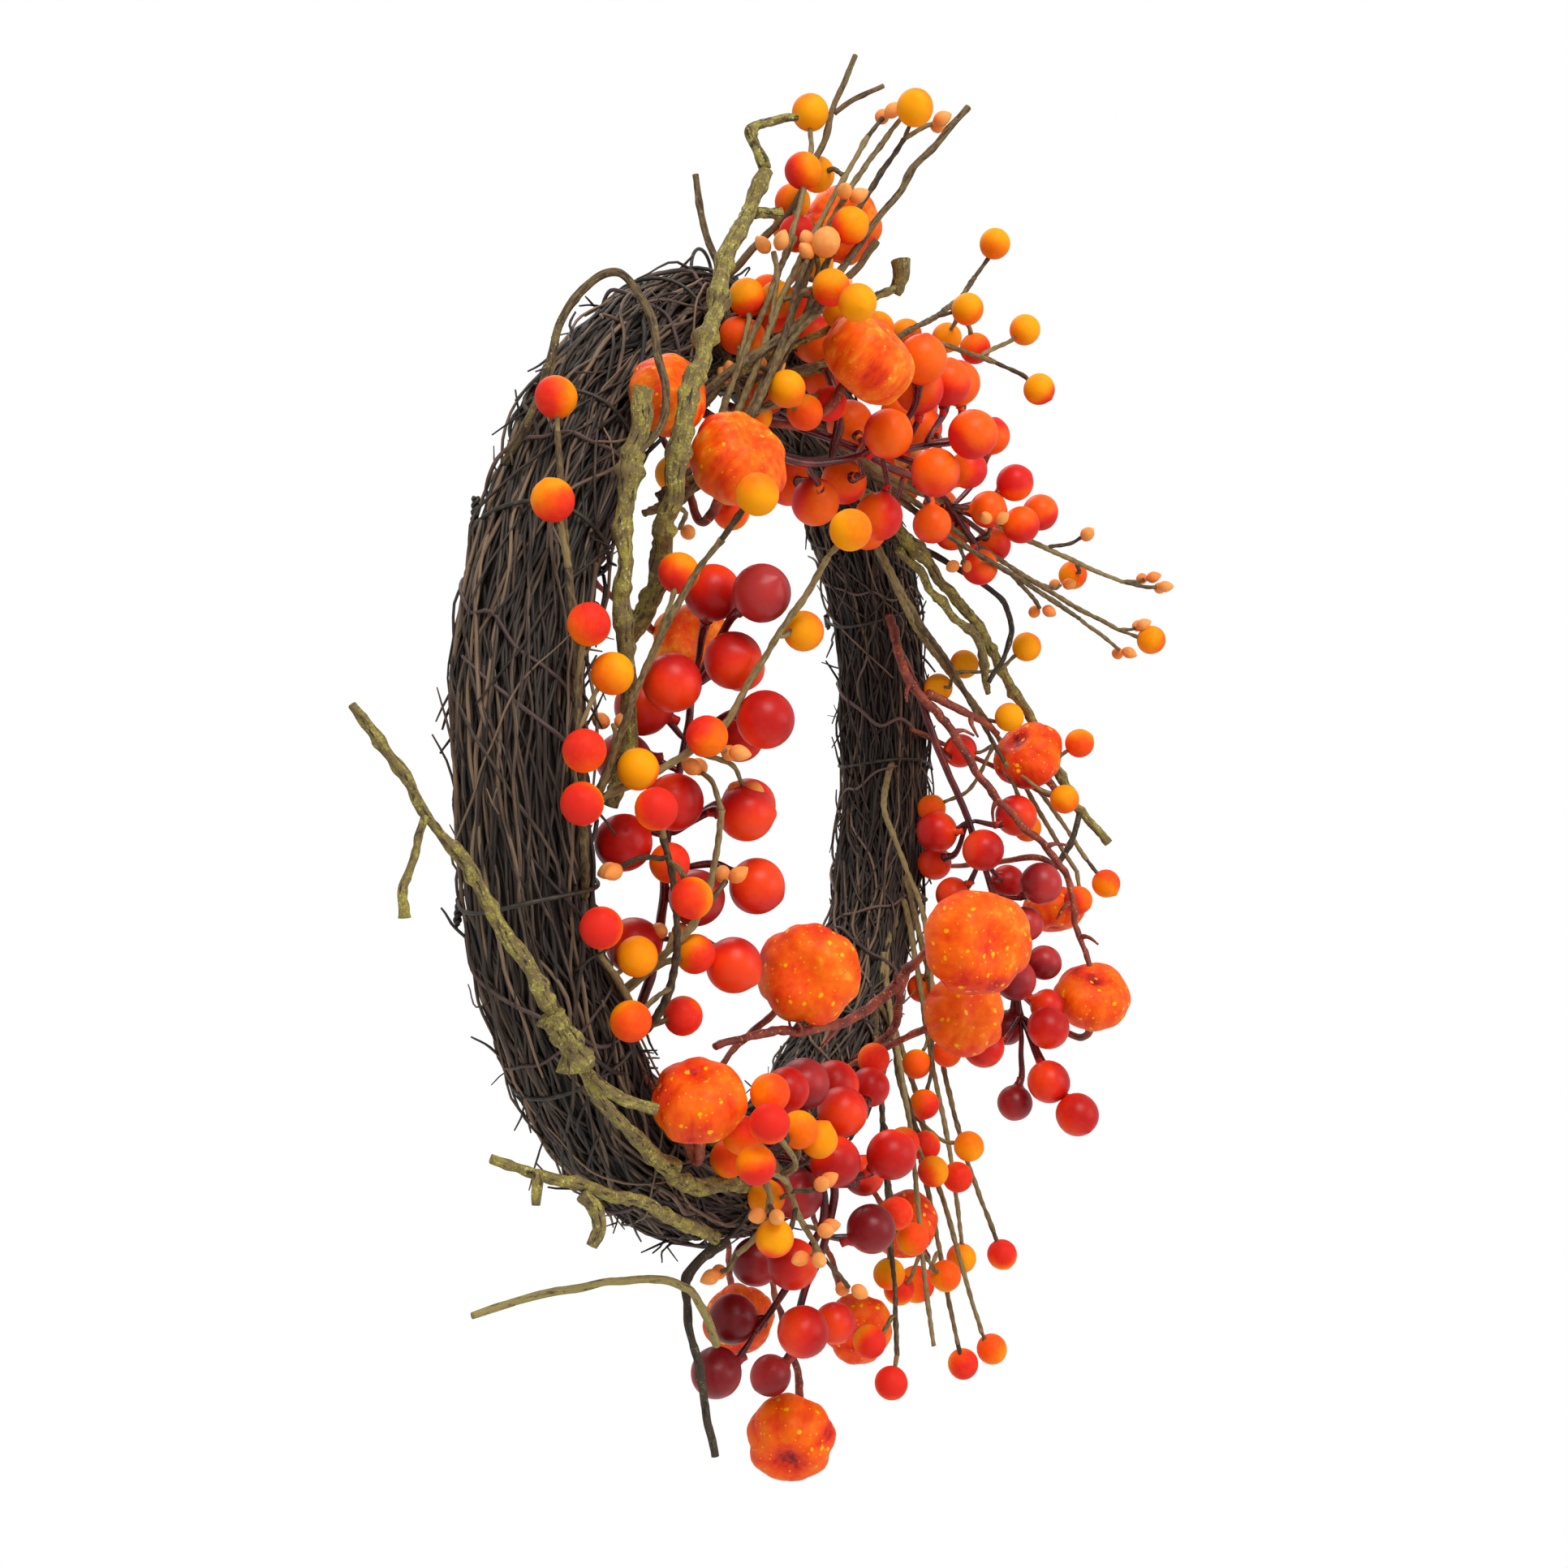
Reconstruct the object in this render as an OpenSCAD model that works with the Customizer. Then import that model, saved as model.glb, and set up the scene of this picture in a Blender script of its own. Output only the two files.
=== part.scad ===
// Harvest door wreath: a twig ring dressed with berry picks, mini pumpkins and mossy twigs.
// Millimetres, +Z up. The front of the wreath faces -Y and the door is behind it, at +Y.
// The origin is where a hook bears, at the inside top of the wire hanging loop.
//
// Places on the wreath are written [clock, out, lift]:
//   clock  degrees clockwise from 12 o'clock, seen from the front
//   out    distance outwards from the middle of the twig bundle, negative towards the hole
//   lift   distance forwards from the middle of the bundle, towards whoever faces the door

/* [Ring] */
// Outside diameter of the twig ring
ring_d = 305; // [295:1:315]
// Thickness of the twig bundle
bundle_d = 34; // [32:1:35]

/* [Berries] */
// Diameter of a small matte berry
small_berry_d = 10.8; // [9:0.2:11]
// Diameter of a middle-sized glossy berry
middle_berry_d = 13; // [12:0.5:13.5]
// Diameter of a large glossy berry
large_berry_d = 15.4; // [14:0.2:15.6]
// Widest diameter of a pip bud
pip_d = 4.4; // [3.6:0.2:5]
// Length of a pip bud
pip_len = 6.2; // [5:0.2:7]

/* [Mini pumpkins] */
// Scale of all the mini pumpkins together
pumpkin_scale = 1; // [0.9:0.05:1.05]
// Height of a mini pumpkin as a share of its width
pumpkin_flat = 0.84; // [0.75:0.01:0.95]
// Depth of the grooves between ribs as a share of the radius
groove = 0.06; // [0:0.01:0.1]

/* [Stems] */
// Diameter of a paper-wrapped wire stem of the small berries
paper_stem_d = 2.6; // [2:0.1:3]
// Diameter of a moulded stem of the large berries
moulded_stem_d = 3; // [2.4:0.1:3.4]
// Diameter of a thorny stem
thorny_stem_d = 3.6; // [3:0.1:4]
// Diameter of a side stem that carries one berry
side_stem_d = 1.6; // [1.2:0.1:1.8]

/* [Binding and hanger] */
// Diameter of the vine that binds the bundle
vine_d = 1.8; // [1.4:0.1:2.2]
// Diameter of the florist's wire of the ties and the hanger
wire_d = 1.2; // [0.8:0.1:1.5]
// Inside diameter of the hanging loop
loop_bore_d = 14; // [12:0.5:18]

/* [Hidden] */
ring_r = (ring_d - bundle_d) / 2;
bundle_r = bundle_d / 2;
loop_r = (loop_bore_d + wire_d) / 2;
// The hanging loop stands behind the top of the bundle on a short twist of wire.
twist_len = 5;
twist_out = 10.5;
loop_from_back = 3;
loop_lift = loop_from_back - bundle_r;
loop_out = twist_out + twist_len + loop_r;
ring_centre = [0, loop_lift, -(ring_r + loop_out + loop_r - wire_d / 2)];

// Sizes and tones of what the picks carry
S = small_berry_d;
M = middle_berry_d;
L = large_berry_d;
AMBER = "amber";
RED = "red";
DARK = "dark";
BUD = "bud";

// Picks. Each stem is [route of its main stem, what it carries], and everything it carries is
// [clock, out, lift, leaves, diameter, tone], where leaves says how far along the main stem,
// from 0 to 1, its own side stem starts.
LEFT_SMALL = [
    [[[254, -2, 15], [262, 3, 20], [272, 6, 21], [282, 9, 20], [292, 18, 17], [300, 24, 13]], [
        [303, 28, 12, 1.0, S, RED], [292, 27, 19, 0.7, S, RED], [282, 13, 26, 0.5, S, RED],
        [278, 3, 28, 0.4, S, AMBER], [270, 12, 26, 0.3, S, RED], [265, 12, 25, 0.2, S, RED]]],
    [[[263, -8, 15], [269, -9, 22], [276, -10, 27], [282, -9, 33], [289, -7, 41], [294, -4, 50]], [
        [298, 1, 60, 1.0, S, AMBER], [292, -12, 35, 0.6, S, RED], [274, -18, 17, 0.2, pip_d, BUD]]],
    [[[264, -8, 15], [268, -18, 31], [273, -27, 44], [282, -30, 52], [290, -28, 62], [296, -21, 72]], [
        [298, -16, 79, 1.0, S, AMBER], [289, -37, 61, 0.7, S, AMBER], [272, -19, 44, 0.4, S, RED],
        [270, -31, 46, 0.3, pip_d, BUD], [264, -44, 43, 0.3, pip_d, BUD]]],
    [[[232, -10, 14], [237, -11, 25], [243, -14, 31], [251, -15, 34], [257, -14, 34], [261, -13, 33]], [
        [268, -10, 29, 1.0, S, AMBER], [264, 0, 39, 0.9, S, AMBER],
        [255, -24, 29, 0.7, S, RED], [253, -9, 42, 0.8, S, AMBER], [257, -2, 24, 0.8, pip_d, BUD],
        [233, -18, 26, 0.1, S, RED], [241, 6, 26, 0.3, S, AMBER]]],
    [[[233, -8, 13], [239, -6, 19], [244, -2, 20], [248, 3, 20]], [
        [252, 7, 24, 1.0, S, RED], [246, -6, 25, 0.7, S, AMBER], [241, -25, 31, 0.5, S, AMBER]]],
    [[[238, -14, 12], [246, -25, 33], [254, -30, 39], [262, -29, 43]], [
        [268, -29, 36, 1.0, pip_d, BUD], [251, -36, 40, 0.4, pip_d, BUD], [243, -30, 22, 0.2, pip_d, BUD]]],
];
LEFT_LARGE = [
    [[[230, -12, 10], [240, -34, 16], [251, -38, 19], [262, -40, 23], [272, -43, 26], [281, -43, 27]], [
        [294, -30, 36, 1.0, L, RED], [292, -25, 53, 1.0, L, DARK], [284, -34, 43, 1.0, L, RED],
        [287, -54, 36, 1.0, M, RED], [279, -20, 33, 0.9, L, RED], [277, -33, 18, 0.8, L, RED],
        [275, -35, 53, 0.8, L, RED], [269, -36, 11, 0.7, L, DARK], [273, -54, 37, 0.8, M, RED],
        [263, -30, 29, 0.6, L, RED], [260, -44, 43, 0.5, L, RED], [259, -61, 36, 0.5, L, RED],
        [258, -22, 17, 0.5, L, RED], [246, -47, 42, 0.4, L, RED], [247, -36, 29, 0.3, L, DARK],
        [236, -33, 37, 0.2, L, RED], [242, -25, 13, 0.2, L, RED]]],
];
TOP_SMALL = [
    [[[305, -21, 14], [313, -26, 24], [321, -16, 28], [328, -6, 31], [335, 7, 36], [341, 23, 40]], [
        [348, 58, 41, 1.0, S, AMBER], [345, 41, 41, 1.0, S, RED], [349, 34, 32, 0.9, S, AMBER],
        [344, 8, 27, 0.8, S, RED], [341, -4, 22, 0.6, S, RED], [346, 24, 36, 0.9, S, RED],
        [335, 9, 30, 0.6, S, RED], [334, -1, 26, 0.5, S, AMBER], [325, -48, 20, 0.2, S, RED],
        [320, -30, 10, 0.1, S, AMBER], [315, -44, 10, 0.1, pip_d, BUD]]],
    [[[306, -22, 15], [316, -28, 23], [330, -8, 34], [337, 6, 38], [344, 25, 45], [350, 50, 56]], [
        [351, 42, 38, 0.9, S, RED], [344, 24, 55, 0.7, S, RED], [338, 8, 53, 0.6, S, RED],
        [348, 15, 39, 0.7, S, AMBER], [347, 4, 34, 0.6, S, RED], [331, -16, 41, 0.4, S, AMBER],
        [337, -26, 24, 0.3, S, AMBER], [352, 57, 60, 1.0, pip_d, BUD], [338, 22, 37, 0.5, pip_d, BUD]]],
    [[[307, -23, 16], [319, -27, 25], [333, -8, 37], [341, 11, 43], [346, 29, 49], [352, 52, 61]], [
        [353, 58, 66, 1.0, pip_d, BUD], [346, 33, 54, 0.8, pip_d, BUD], [352, 28, 27, 0.7, S, RED],
        [349, 2, 23, 0.6, S, RED], [350, 1, 44, 0.6, S, AMBER], [340, -27, 38, 0.3, S, AMBER]]],
    [[[308, -23, 17], [322, -27, 26], [337, -5, 40], [345, 15, 46], [349, 31, 54], [352, 49, 65]], [
        [350, 56, 71, 1.0, S, AMBER], [335, 4, 63, 0.5, S, AMBER], [340, 6, 34, 0.5, S, AMBER],
        [354, 54, 74, 1.0, pip_d, BUD], [340, 18, 48, 0.5, pip_d, BUD]]],
    [[[309, -24, 15], [315, -26, 27], [325, -16, 36], [333, -3, 41], [337, 10, 44], [339, 15, 45]], [
        [341, 21, 47, 1.0, pip_d, BUD]]],
    [[[311, -24, 15], [320, -25, 29], [328, -14, 36], [334, -4, 42], [338, 2, 49]], [
        [340, 8, 52, 1.0, pip_d, BUD]]],
    [[[310, -24, 14], [322, -25, 24], [333, -22, 30], [341, -22, 34]], [
        [348, -26, 40, 1.0, S, RED], [343, -22, 24, 0.9, S, AMBER], [335, -11, 33, 0.6, pip_d, BUD],
        [331, -10, 24, 0.5, pip_d, BUD]]],
];
UPPER_RIGHT_SMALL = [
    [[[345, -18, 14], [356, -12, 32], [7, -3, 40], [14, 12, 47], [22, 33, 51], [25, 52, 54]], [
        [24, 63, 61, 1.0, S, AMBER], [19, 25, 60, 0.7, S, AMBER], [28, 28, 55, 0.8, S, RED],
        [30, 40, 41, 0.8, S, AMBER], [17, 14, 41, 0.6, S, RED], [0, -1, 47, 0.4, S, RED]]],
    [[[350, -18, 15], [3, -9, 33], [13, 5, 44], [21, 15, 52], [28, 21, 63]], [
        [31, 14, 78, 1.0, S, RED], [29, 37, 71, 0.9, S, AMBER]]],
];
TOP_LARGE = [
    [[[333, -22, 12], [343, -40, 26], [352, -43, 36], [4, -38, 46], [15, -30, 53], [25, -16, 56]], [
        [7, -17, 56, 0.7, L, RED], [14, -9, 60, 0.8, L, RED], [23, 3, 56, 1.0, L, RED],
        [358, -35, 52, 0.5, L, RED], [9, -25, 31, 0.5, L, RED], [4, -35, 76, 0.8, L, RED],
        [4, -46, 64, 0.6, L, RED], [17, -15, 42, 0.7, M, RED], [26, -9, 42, 0.9, L, RED],
        [0, -54, 26, 0.3, L, RED], [10, -43, 10, 0.3, L, RED], [9, -57, 43, 0.6, L, RED],
        [18, -38, 24, 0.5, L, RED], [5, -12, 24, 0.4, M, RED], [359, -3, 27, 0.4, L, RED],
        [0, -12, 62, 0.6, L, RED]]],
    [[[344, -24, 10], [2, -34, 32], [12, -38, 42], [24, -34, 47], [34, -27, 49], [40, -20, 47]], [
        [36, 6, 59, 1.0, M, RED], [42, -3, 66, 1.0, M, RED], [42, -17, 59, 0.9, M, RED],
        [47, -13, 68, 1.0, M, RED], [50, 5, 70, 1.0, M, RED], [45, -5, 37, 0.8, M, RED],
        [46, -18, 44, 0.8, M, RED], [52, -23, 53, 0.9, M, RED], [53, -4, 53, 1.0, M, RED],
        [33, -22, 33, 0.6, M, RED], [31, -20, 58, 0.7, M, RED], [31, -43, 49, 0.6, M, RED],
        [29, 6, 36, 0.8, L, RED], [34, -8, 27, 0.7, L, RED], [27, -49, 29, 0.5, M, RED]]],
];
RIGHT_BUDS = [
    [[[8, -20, 14], [18, -36, 37], [34, -26, 45], [51, -3, 60], [60, 13, 78], [65, 26, 91]], [
        [67, 35, 104, 1.0, pip_d, BUD], [66, 38, 98, 1.0, pip_d, BUD], [56, 14, 83, 0.7, pip_d, BUD],
        [64, 28, 72, 0.8, S, RED], [26, -22, 40, 0.3, pip_d, BUD]]],
    [[[12, -20, 14], [22, -38, 40], [39, -28, 46], [55, -10, 58], [65, 5, 75], [71, 18, 90]], [
        [73, 23, 101, 1.0, S, RED], [71, 24, 97, 1.0, pip_d, BUD], [64, 18, 70, 0.7, pip_d, BUD],
        [42, -22, 62, 0.5, pip_d, BUD]]],
    [[[16, -20, 14], [26, -36, 37], [42, -33, 51], [56, -19, 66], [67, 0, 80]], [
        [74, 14, 92, 1.0, pip_d, BUD], [64, -10, 69, 0.7, pip_d, BUD], [50, -28, 48, 0.5, pip_d, BUD]]],
];
RIGHT_SMALL = [
    [[[45, -20, 14], [56, -34, 26], [68, -26, 34], [80, -17, 42], [90, -12, 52]], [
        [77, -9, 26, 0.6, S, RED], [73, -9, 37, 0.6, S, AMBER], [71, -3, 60, 0.6, S, AMBER],
        [82, -15, 55, 0.8, S, AMBER], [88, -19, 37, 0.9, S, RED], [87, 2, 77, 1.0, S, RED],
        [96, -4, 73, 1.0, S, AMBER], [100, 7, 56, 1.0, S, RED], [98, -10, 23, 0.9, S, AMBER]]],
    [[[38, -20, 14], [49, -42, 28], [67, -24, 28], [77, -6, 34], [86, 13, 42], [96, 20, 55],
      [106, 16, 74]], [[110, 17, 75, 1.0, S, RED]]],
    [[[40, -20, 14], [50, -40, 28], [65, -20, 27], [76, -1, 30], [84, 13, 38], [95, 24, 58],
      [104, 18, 77]], [[107, 22, 84, 1.0, S, AMBER]]],
    [[[90, -14, 8], [98, -28, 10], [108, -28, 18], [120, -18, 28], [132, -2, 32]], [
        [115, -12, 26, 0.6, pip_d, BUD], [127, 5, 23, 0.8, S, AMBER], [140, 8, 28, 1.0, S, RED],
        [136, 13, 36, 1.0, S, AMBER], [145, 15, 33, 1.0, S, RED]]],
];
RIGHT_LARGE = [
    [[[66, -20, 14], [76, -37, 28], [89, -33, 34], [101, -23, 42], [111, -10, 48], [120, 6, 54],
      [128, 17, 59]], [
        [103, -20, 29, 0.5, L, RED], [107, -25, 49, 0.6, L, RED], [99, -9, 56, 0.5, L, RED],
        [107, -5, 24, 0.5, M, RED], [113, -9, 34, 0.6, M, RED], [119, -18, 42, 0.7, M, RED],
        [111, -11, 68, 0.7, L, DARK], [109, 3, 51, 0.6, M, RED], [117, -4, 62, 0.7, M, DARK],
        [121, 9, 67, 0.8, M, DARK], [126, 0, 60, 0.9, L, DARK], [126, 19, 68, 0.9, M, RED],
        [131, 12, 72, 1.0, L, RED], [136, 8, 51, 1.0, L, RED], [129, 22, 53, 0.9, M, DARK],
        [138, 33, 59, 1.0, M, DARK], [137, 23, 73, 1.0, L, RED], [140, 30, 84, 1.0, L, RED],
        [88, -4, 32, 0.3, M, RED]]],
];
BOTTOM_SMALL = [
    [[[218, -12, 14], [211, -9, 32], [207, -2, 41], [202, 7, 43], [196, 16, 45]], [
        [224, -9, 49, 0.4, S, RED], [219, -2, 39, 0.4, S, AMBER], [221, 9, 48, 0.5, S, RED],
        [225, 2, 53, 0.5, S, RED], [212, -12, 48, 0.5, S, AMBER], [207, -13, 50, 0.5, S, AMBER],
        [213, -1, 30, 0.3, S, AMBER], [207, 16, 42, 0.7, S, RED], [203, 3, 33, 0.6, S, AMBER],
        [190, 26, 49, 1.0, pip_d, BUD], [205, -2, 52, 0.6, pip_d, BUD], [200, 9, 50, 0.8, pip_d, BUD],
        [200, 18, 46, 0.9, pip_d, BUD]]],
    [[[212, -10, 14], [208, 0, 36], [206, 12, 37], [204, 20, 28]], [
        [203, 26, 21, 1.0, pip_d, BUD], [210, 12, 42, 0.5, pip_d, BUD]]],
];
HANGING_SMALL = [
    [[[113, -8, 13], [120, -9, 20], [129, 0, 25], [137, 19, 30], [144, 40, 37], [151, 61, 44]], [
        [152, 68, 44, 1.0, S, RED]]],
    [[[110, -9, 14], [118, -8, 21], [127, -1, 28], [135, 19, 32], [143, 43, 41], [149, 64, 54]], [
        [150, 71, 57, 1.0, S, RED]]],
    [[[134, -11, 13], [137, -2, 19], [141, 11, 21], [149, 30, 32], [154, 58, 39], [159, 85, 48]], [
        [159, 93, 49, 1.0, S, RED], [148, 26, 50, 0.5, S, AMBER], [151, 33, 47, 0.6, S, RED],
        [158, 64, 34, 0.8, M, DARK]]],
    [[[125, -12, 12], [132, -6, 14], [139, 15, 23], [147, 34, 33], [153, 57, 44], [156, 88, 53]], [
        [156, 95, 56, 1.0, S, AMBER]]],
    [[[118, -9, 13], [127, -10, 13], [138, -6, 21], [152, 10, 34], [162, 40, 43], [164, 66, 46]], [
        [165, 73, 48, 1.0, pip_d, BUD], [151, 20, 37, 0.5, S, RED], [155, 22, 43, 0.6, S, AMBER],
        [160, 54, 48, 0.8, S, AMBER], [162, 57, 33, 0.8, S, RED]]],
    [[[129, -8, 13], [137, -8, 14], [148, -3, 22], [158, 16, 29], [166, 37, 37], [173, 60, 45]], [
        [174, 68, 44, 1.0, S, RED], [174, 55, 37, 0.9, S, RED], [169, 25, 48, 0.7, S, AMBER],
        [165, 45, 34, 0.7, S, AMBER], [172, 13, 46, 0.5, S, RED], [161, 1, 40, 0.5, S, AMBER],
        [161, -30, 33, 0.3, S, RED]]],
];
BOTTOM_LARGE = [
    [[[196, -14, 12], [188, -11, 30], [185, 6, 34], [186, 18, 30], [187, 30, 24], [189, 42, 18]], [
        [210, -25, 40, 0.1, M, RED], [200, -32, 37, 0.1, L, DARK], [189, -26, 42, 0.2, L, RED],
        [179, -32, 32, 0.2, L, RED], [168, -26, 36, 0.2, M, RED], [183, -13, 54, 0.3, L, RED],
        [176, -2, 39, 0.3, M, RED], [193, -11, 44, 0.3, L, RED], [189, 0, 29, 0.3, L, DARK],
        [192, 20, 32, 0.6, L, RED], [187, 22, 14, 0.6, L, DARK], [189, 39, 10, 0.9, L, DARK],
        [192, 54, 10, 1.0, L, DARK]]],
    [[[190, -12, 14], [184, -6, 34], [183, 14, 33], [182, 34, 24], [181, 50, 20]], [
        [180, 12, 45, 0.5, L, DARK], [171, 20, 35, 0.5, M, DARK], [192, 39, 37, 0.8, L, RED],
        [181, 42, 34, 0.8, M, RED], [183, 59, 15, 1.0, M, DARK]]],
];

// Mini pumpkins: [middle, width, [turn, tilt] of the blossom end, place where its stem starts].
// Turn is measured from straight forwards towards 3 o'clock, and tilt is upwards.
TOP_PUMPKINS = [
    [[312, 6, 27], 23, [-20, 20], [316, 2, 12]],
    [[311, -15, 41], 28, [-33, 40], [318, -12, 12]],
    [[346, -14, 55], 30, [-3, 42], [336, -24, 14]],
    [[359, 32, 36], 25, [-60, 0], [352, 6, 16]],
    [[296, -62, 15], 24, [-60, 10], [294, -18, 4]],
];
CENTRE_PUMPKINS = [
    [[215, -58, 42], 31, [-72, 3], [212, -16, 10]],
    [[181, -79, 80], 35, [-42, 0], [166, -70, 60]],
    [[159, -46, 65], 28, [-45, 15], [155, -16, 12]],
];
RIGHT_PUMPKINS = [
    [[89, 0, 58], 28, [-111, 40], [84, -10, 14]],
    [[122, 31, 81], 29, [-60, 50], [114, 14, 16]],
    [[110, 30, 62], 24, [-60, -70], [106, 12, 14]],
];
BOTTOM_PUMPKINS = [
    [[227, 0, 33], 26, [-67, 60], [230, -6, 14]],
    [[156, 44, 30], 25, [-110, 45], [158, 12, 12]],
    [[181, 80, 19], 29, [-75, -25], [184, 14, 10]],
    [[177, 49, -5], 24, [-60, 0], [178, 14, -8]],
    [[168, 61, 25], 24, [-60, 0], [170, 12, 12]],
];

// Thorny stems: [route, thorns], and a thorn is [where it starts from 0 to 1, turn about the stem].
RIGHT_THORNY = [
    [[[62, -20, 14], [72, -42, 27], [83, -34, 38], [96, -28, 52], [103, -16, 65], [108, -2, 74],
      [115, 6, 78], [121, 10, 84]],
     [[0.15, 40], [0.3, 250], [0.45, 100], [0.62, 300], [0.8, 160], [0.9, 20]]],
    [[[75, -40, 32], [81, -26, 44], [85, -14, 50]], [[0.5, 80]]],
];
CENTRE_THORNY = [
    [[[148, -10, 14], [151, -30, 34], [156, -50, 42], [161, -62, 47]], [[0.4, 60], [0.7, 240]]],
    [[[161, -60, 47], [180, -60, 48], [196, -53, 46], [210, -43, 40], [218, -35, 34], [224, -23, 28]],
     [[0.1, 250], [0.45, 70], [0.62, 210], [0.8, 20]]],
    [[[163, -64, 49], [166, -70, 56], [170, -75, 62]], []],
];

// Twigs: each entry is [route, start diameter, end diameter].
HOOKED = [
    [[[288, -34, 10], [292, -30, 18], [296, -18, 24], [298, -7, 31], [302, 3, 36], [307, 11, 39],
      [314, 15, 39], [321, 21, 38], [329, 28, 37], [334, 35, 39], [336, 42, 41]], 6.4, 5],
    [[[336, 43, 41], [337, 48, 38], [338, 53, 36], [340, 55, 38], [343, 55, 43]], 4.4, 2.6],
    [[[334, 32, 38], [337, 30, 42]], 4.6, 3],
];
UPRIGHT = [
    [[[306, 21, 31], [301, 12, 28], [296, 5, 25], [290, -1, 25], [284, -8, 24], [278, -17, 22],
      [271, -22, 20], [263, -22, 14]], 6.2, 5],
];
ARCHED = [
    [[[300, 14, -8], [303, 20, 0], [309, 29, 5], [313, 34, 8], [316, 35, 12], [317, 35, 19],
      [315, 31, 26], [311, 24, 31], [308, 17, 35], [304, 12, 34], [300, 12, 29]], 3, 2.4],
];
STRAIGHT = [
    [[[328, -22, 10], [331, -14, 19], [336, -2, 21], [340, 15, 16], [343, 31, 10], [344, 44, 8]], 3, 2.2],
];
LONG_TOP = [
    [[[322, -12, 16], [329, -6, 32], [337, 0, 44], [342, 9, 50], [346, 20, 57], [350, 35, 66],
      [355, 58, 82]], 3.4, 2.4],
    [[[350, -8, 18], [354, 4, 34], [357, 24, 50]], 3.4, 2.8],
];
CROSSING = [
    [[[331, -16, 12], [341, -10, 26], [349, -5, 37], [358, 6, 47], [2, 13, 52]], 3.2, 2.8],
    [[[2, 11, 51], [2, 16, 53], [2, 21, 53]], 5.4, 7.2],
];
FORKED = [
    [[[344, 14, 14], [347, 32, 34], [348, 46, 42], [350, 60, 46], [352, 75, 51]], 3, 2],
    [[[350, 58, 46], [351, 62, 52], [353, 66, 58]], 2.2, 1.6],
];
DROOPING = [
    [[[273, 56, -10], [271, 52, -8], [269, 47, -4], [266, 43, -1], [263, 38, 2], [260, 34, 6],
      [256, 31, 9], [251, 26, 13], [242, 21, 17], [236, 18, 20], [228, 15, 20], [220, 12, 23],
      [213, 8, 26], [205, 1, 28]], 2.8, 5.4],
    [[[265, 42, 0], [262, 47, -1], [260, 50, -2], [258, 52, -1]], 2.4, 4],
    [[[238, 20, 20], [237, 23, 27], [235, 21, 36]], 4, 3.4],
    [[[246, 25, 16], [243, 23, 18], [240, 22, 20]], 9, 8],
];
LOWER_LEFT = [
    [[[235, 42, -2], [232, 38, 6], [229, 34, 15], [223, 26, 20], [216, 21, 22], [207, 18, 24]], 3, 4.4],
    [[[229, 36, 15], [227, 39, 19], [226, 45, 18]], 5, 3.6],
    [[[233, 39, 8], [231, 45, 8]], 3.6, 2.4],
];
BARE = [
    [[[223, 63, -14], [221, 55, -8], [218, 46, 0], [212, 35, 9], [206, 31, 15], [201, 35, 15],
      [196, 45, 15]], 2.4, 3.2],
];
BOTTOM_DARK = [
    [[[196, 15, 15], [199, 24, 9], [200, 31, 8], [199, 44, 11], [197, 57, 14], [195, 76, 17]], 3.4, 2.8],
];
RIGHT_MOSSY = [
    [[[34, -18, 14], [42, -27, 30], [52, -25, 37], [63, -19, 45], [77, -2, 52], [88, 17, 60],
      [95, 22, 69], [101, 27, 83]], 5.4, 4],
    [[[44, -31, 28], [56, -30, 37], [68, -19, 46], [78, -11, 46]], 4, 3],
];
RIGHT_DARK = [
    [[[46, -15, 15], [51, -19, 37], [57, -15, 49], [62, -12, 56], [67, -11, 57], [71, -15, 54],
      [75, -22, 50]], 3, 2.2],
    [[[97, 23, 72], [103, 18, 69], [107, 12, 63]], 3, 2.4],
];

// Where the bundle is bound with vine, and where the picks are tied on with wire, by clock
BINDINGS = [6, 34, 62, 84, 108, 131, 152, 176, 197, 214, 236, 258, 281, 300, 322, 347];
TIES = [11, 48, 64, 90, 140, 154, 168, 192, 217, 234, 255, 294, 308, 334, 345];

// A direction that climbs more than this share of its length counts as upright.
steep = 0.9;

twig_sides = 8;
stem_sides = 6;
side_stem_sides = 5;
twig_rings = 9;
short_twig_rings = 4;
stem_rings = 8;
// How far the point at a tube's end stands out, as a share of its radius
tip = 0.5;
// Diameter of a main stem at its far end, as a share of its diameter at the ring
main_taper = 0.7;
// How far a side stem bows outwards, as a share of its length
side_bow = 0.15;
// Gives the bow a direction where a side stem leaves from the very foot of its main stem
rootless_bow = [0, 0, 0.1];
// Two buds stand apart on their side stem by shares of their diameter, and lean apart by this angle.
pip_gap = 0.3;
pip_lean = 32;

pumpkin_ribs = 8;
pumpkin_around = 2 * pumpkin_ribs;
pumpkin_rings = 6;
// Below 1, a pumpkin's side is fuller than a ball's
pumpkin_fullness = 0.8;
// How much lower the rim round each dimple is, and how quickly it rises again
rim_fall = 0.16;
rim_power = 6;
// Height of the bottom of each dimple, as a share of half the pumpkin's height
dimple = 0.8;
// A pumpkin's stem bends behind it at this share of its width, and ends in it at the next.
stem_bend = 0.85;
stem_seat = 0.42;
stem_rise = 2;
pumpkin_stem_rings = 6;

// Diameter of a thorny stem at its far end, as a share of its diameter at the ring
thorny_taper = 0.6;
thorn_len = 5;
// A thorn starts inside the stem's skin, leans along the stem and narrows to its tip.
thorn_start = 0.9;
thorn_lean = 0.3;
thorn_tip = 0.15;
// The stem's direction at a thorn is taken between points this share of its length to either side.
thorn_reach = 0.02;

// How deep the binding lies over the bundle's skin, as a share of its diameter
binding_lie = 0.3;
// The ties hang a little off the bundle's middle.
tie_shift = 0.3;
// Angle between the turns of the hanger's wrap round the ring
wrap_step = 1.2;
ring_facets = 96;
$fn = 48;

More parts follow.
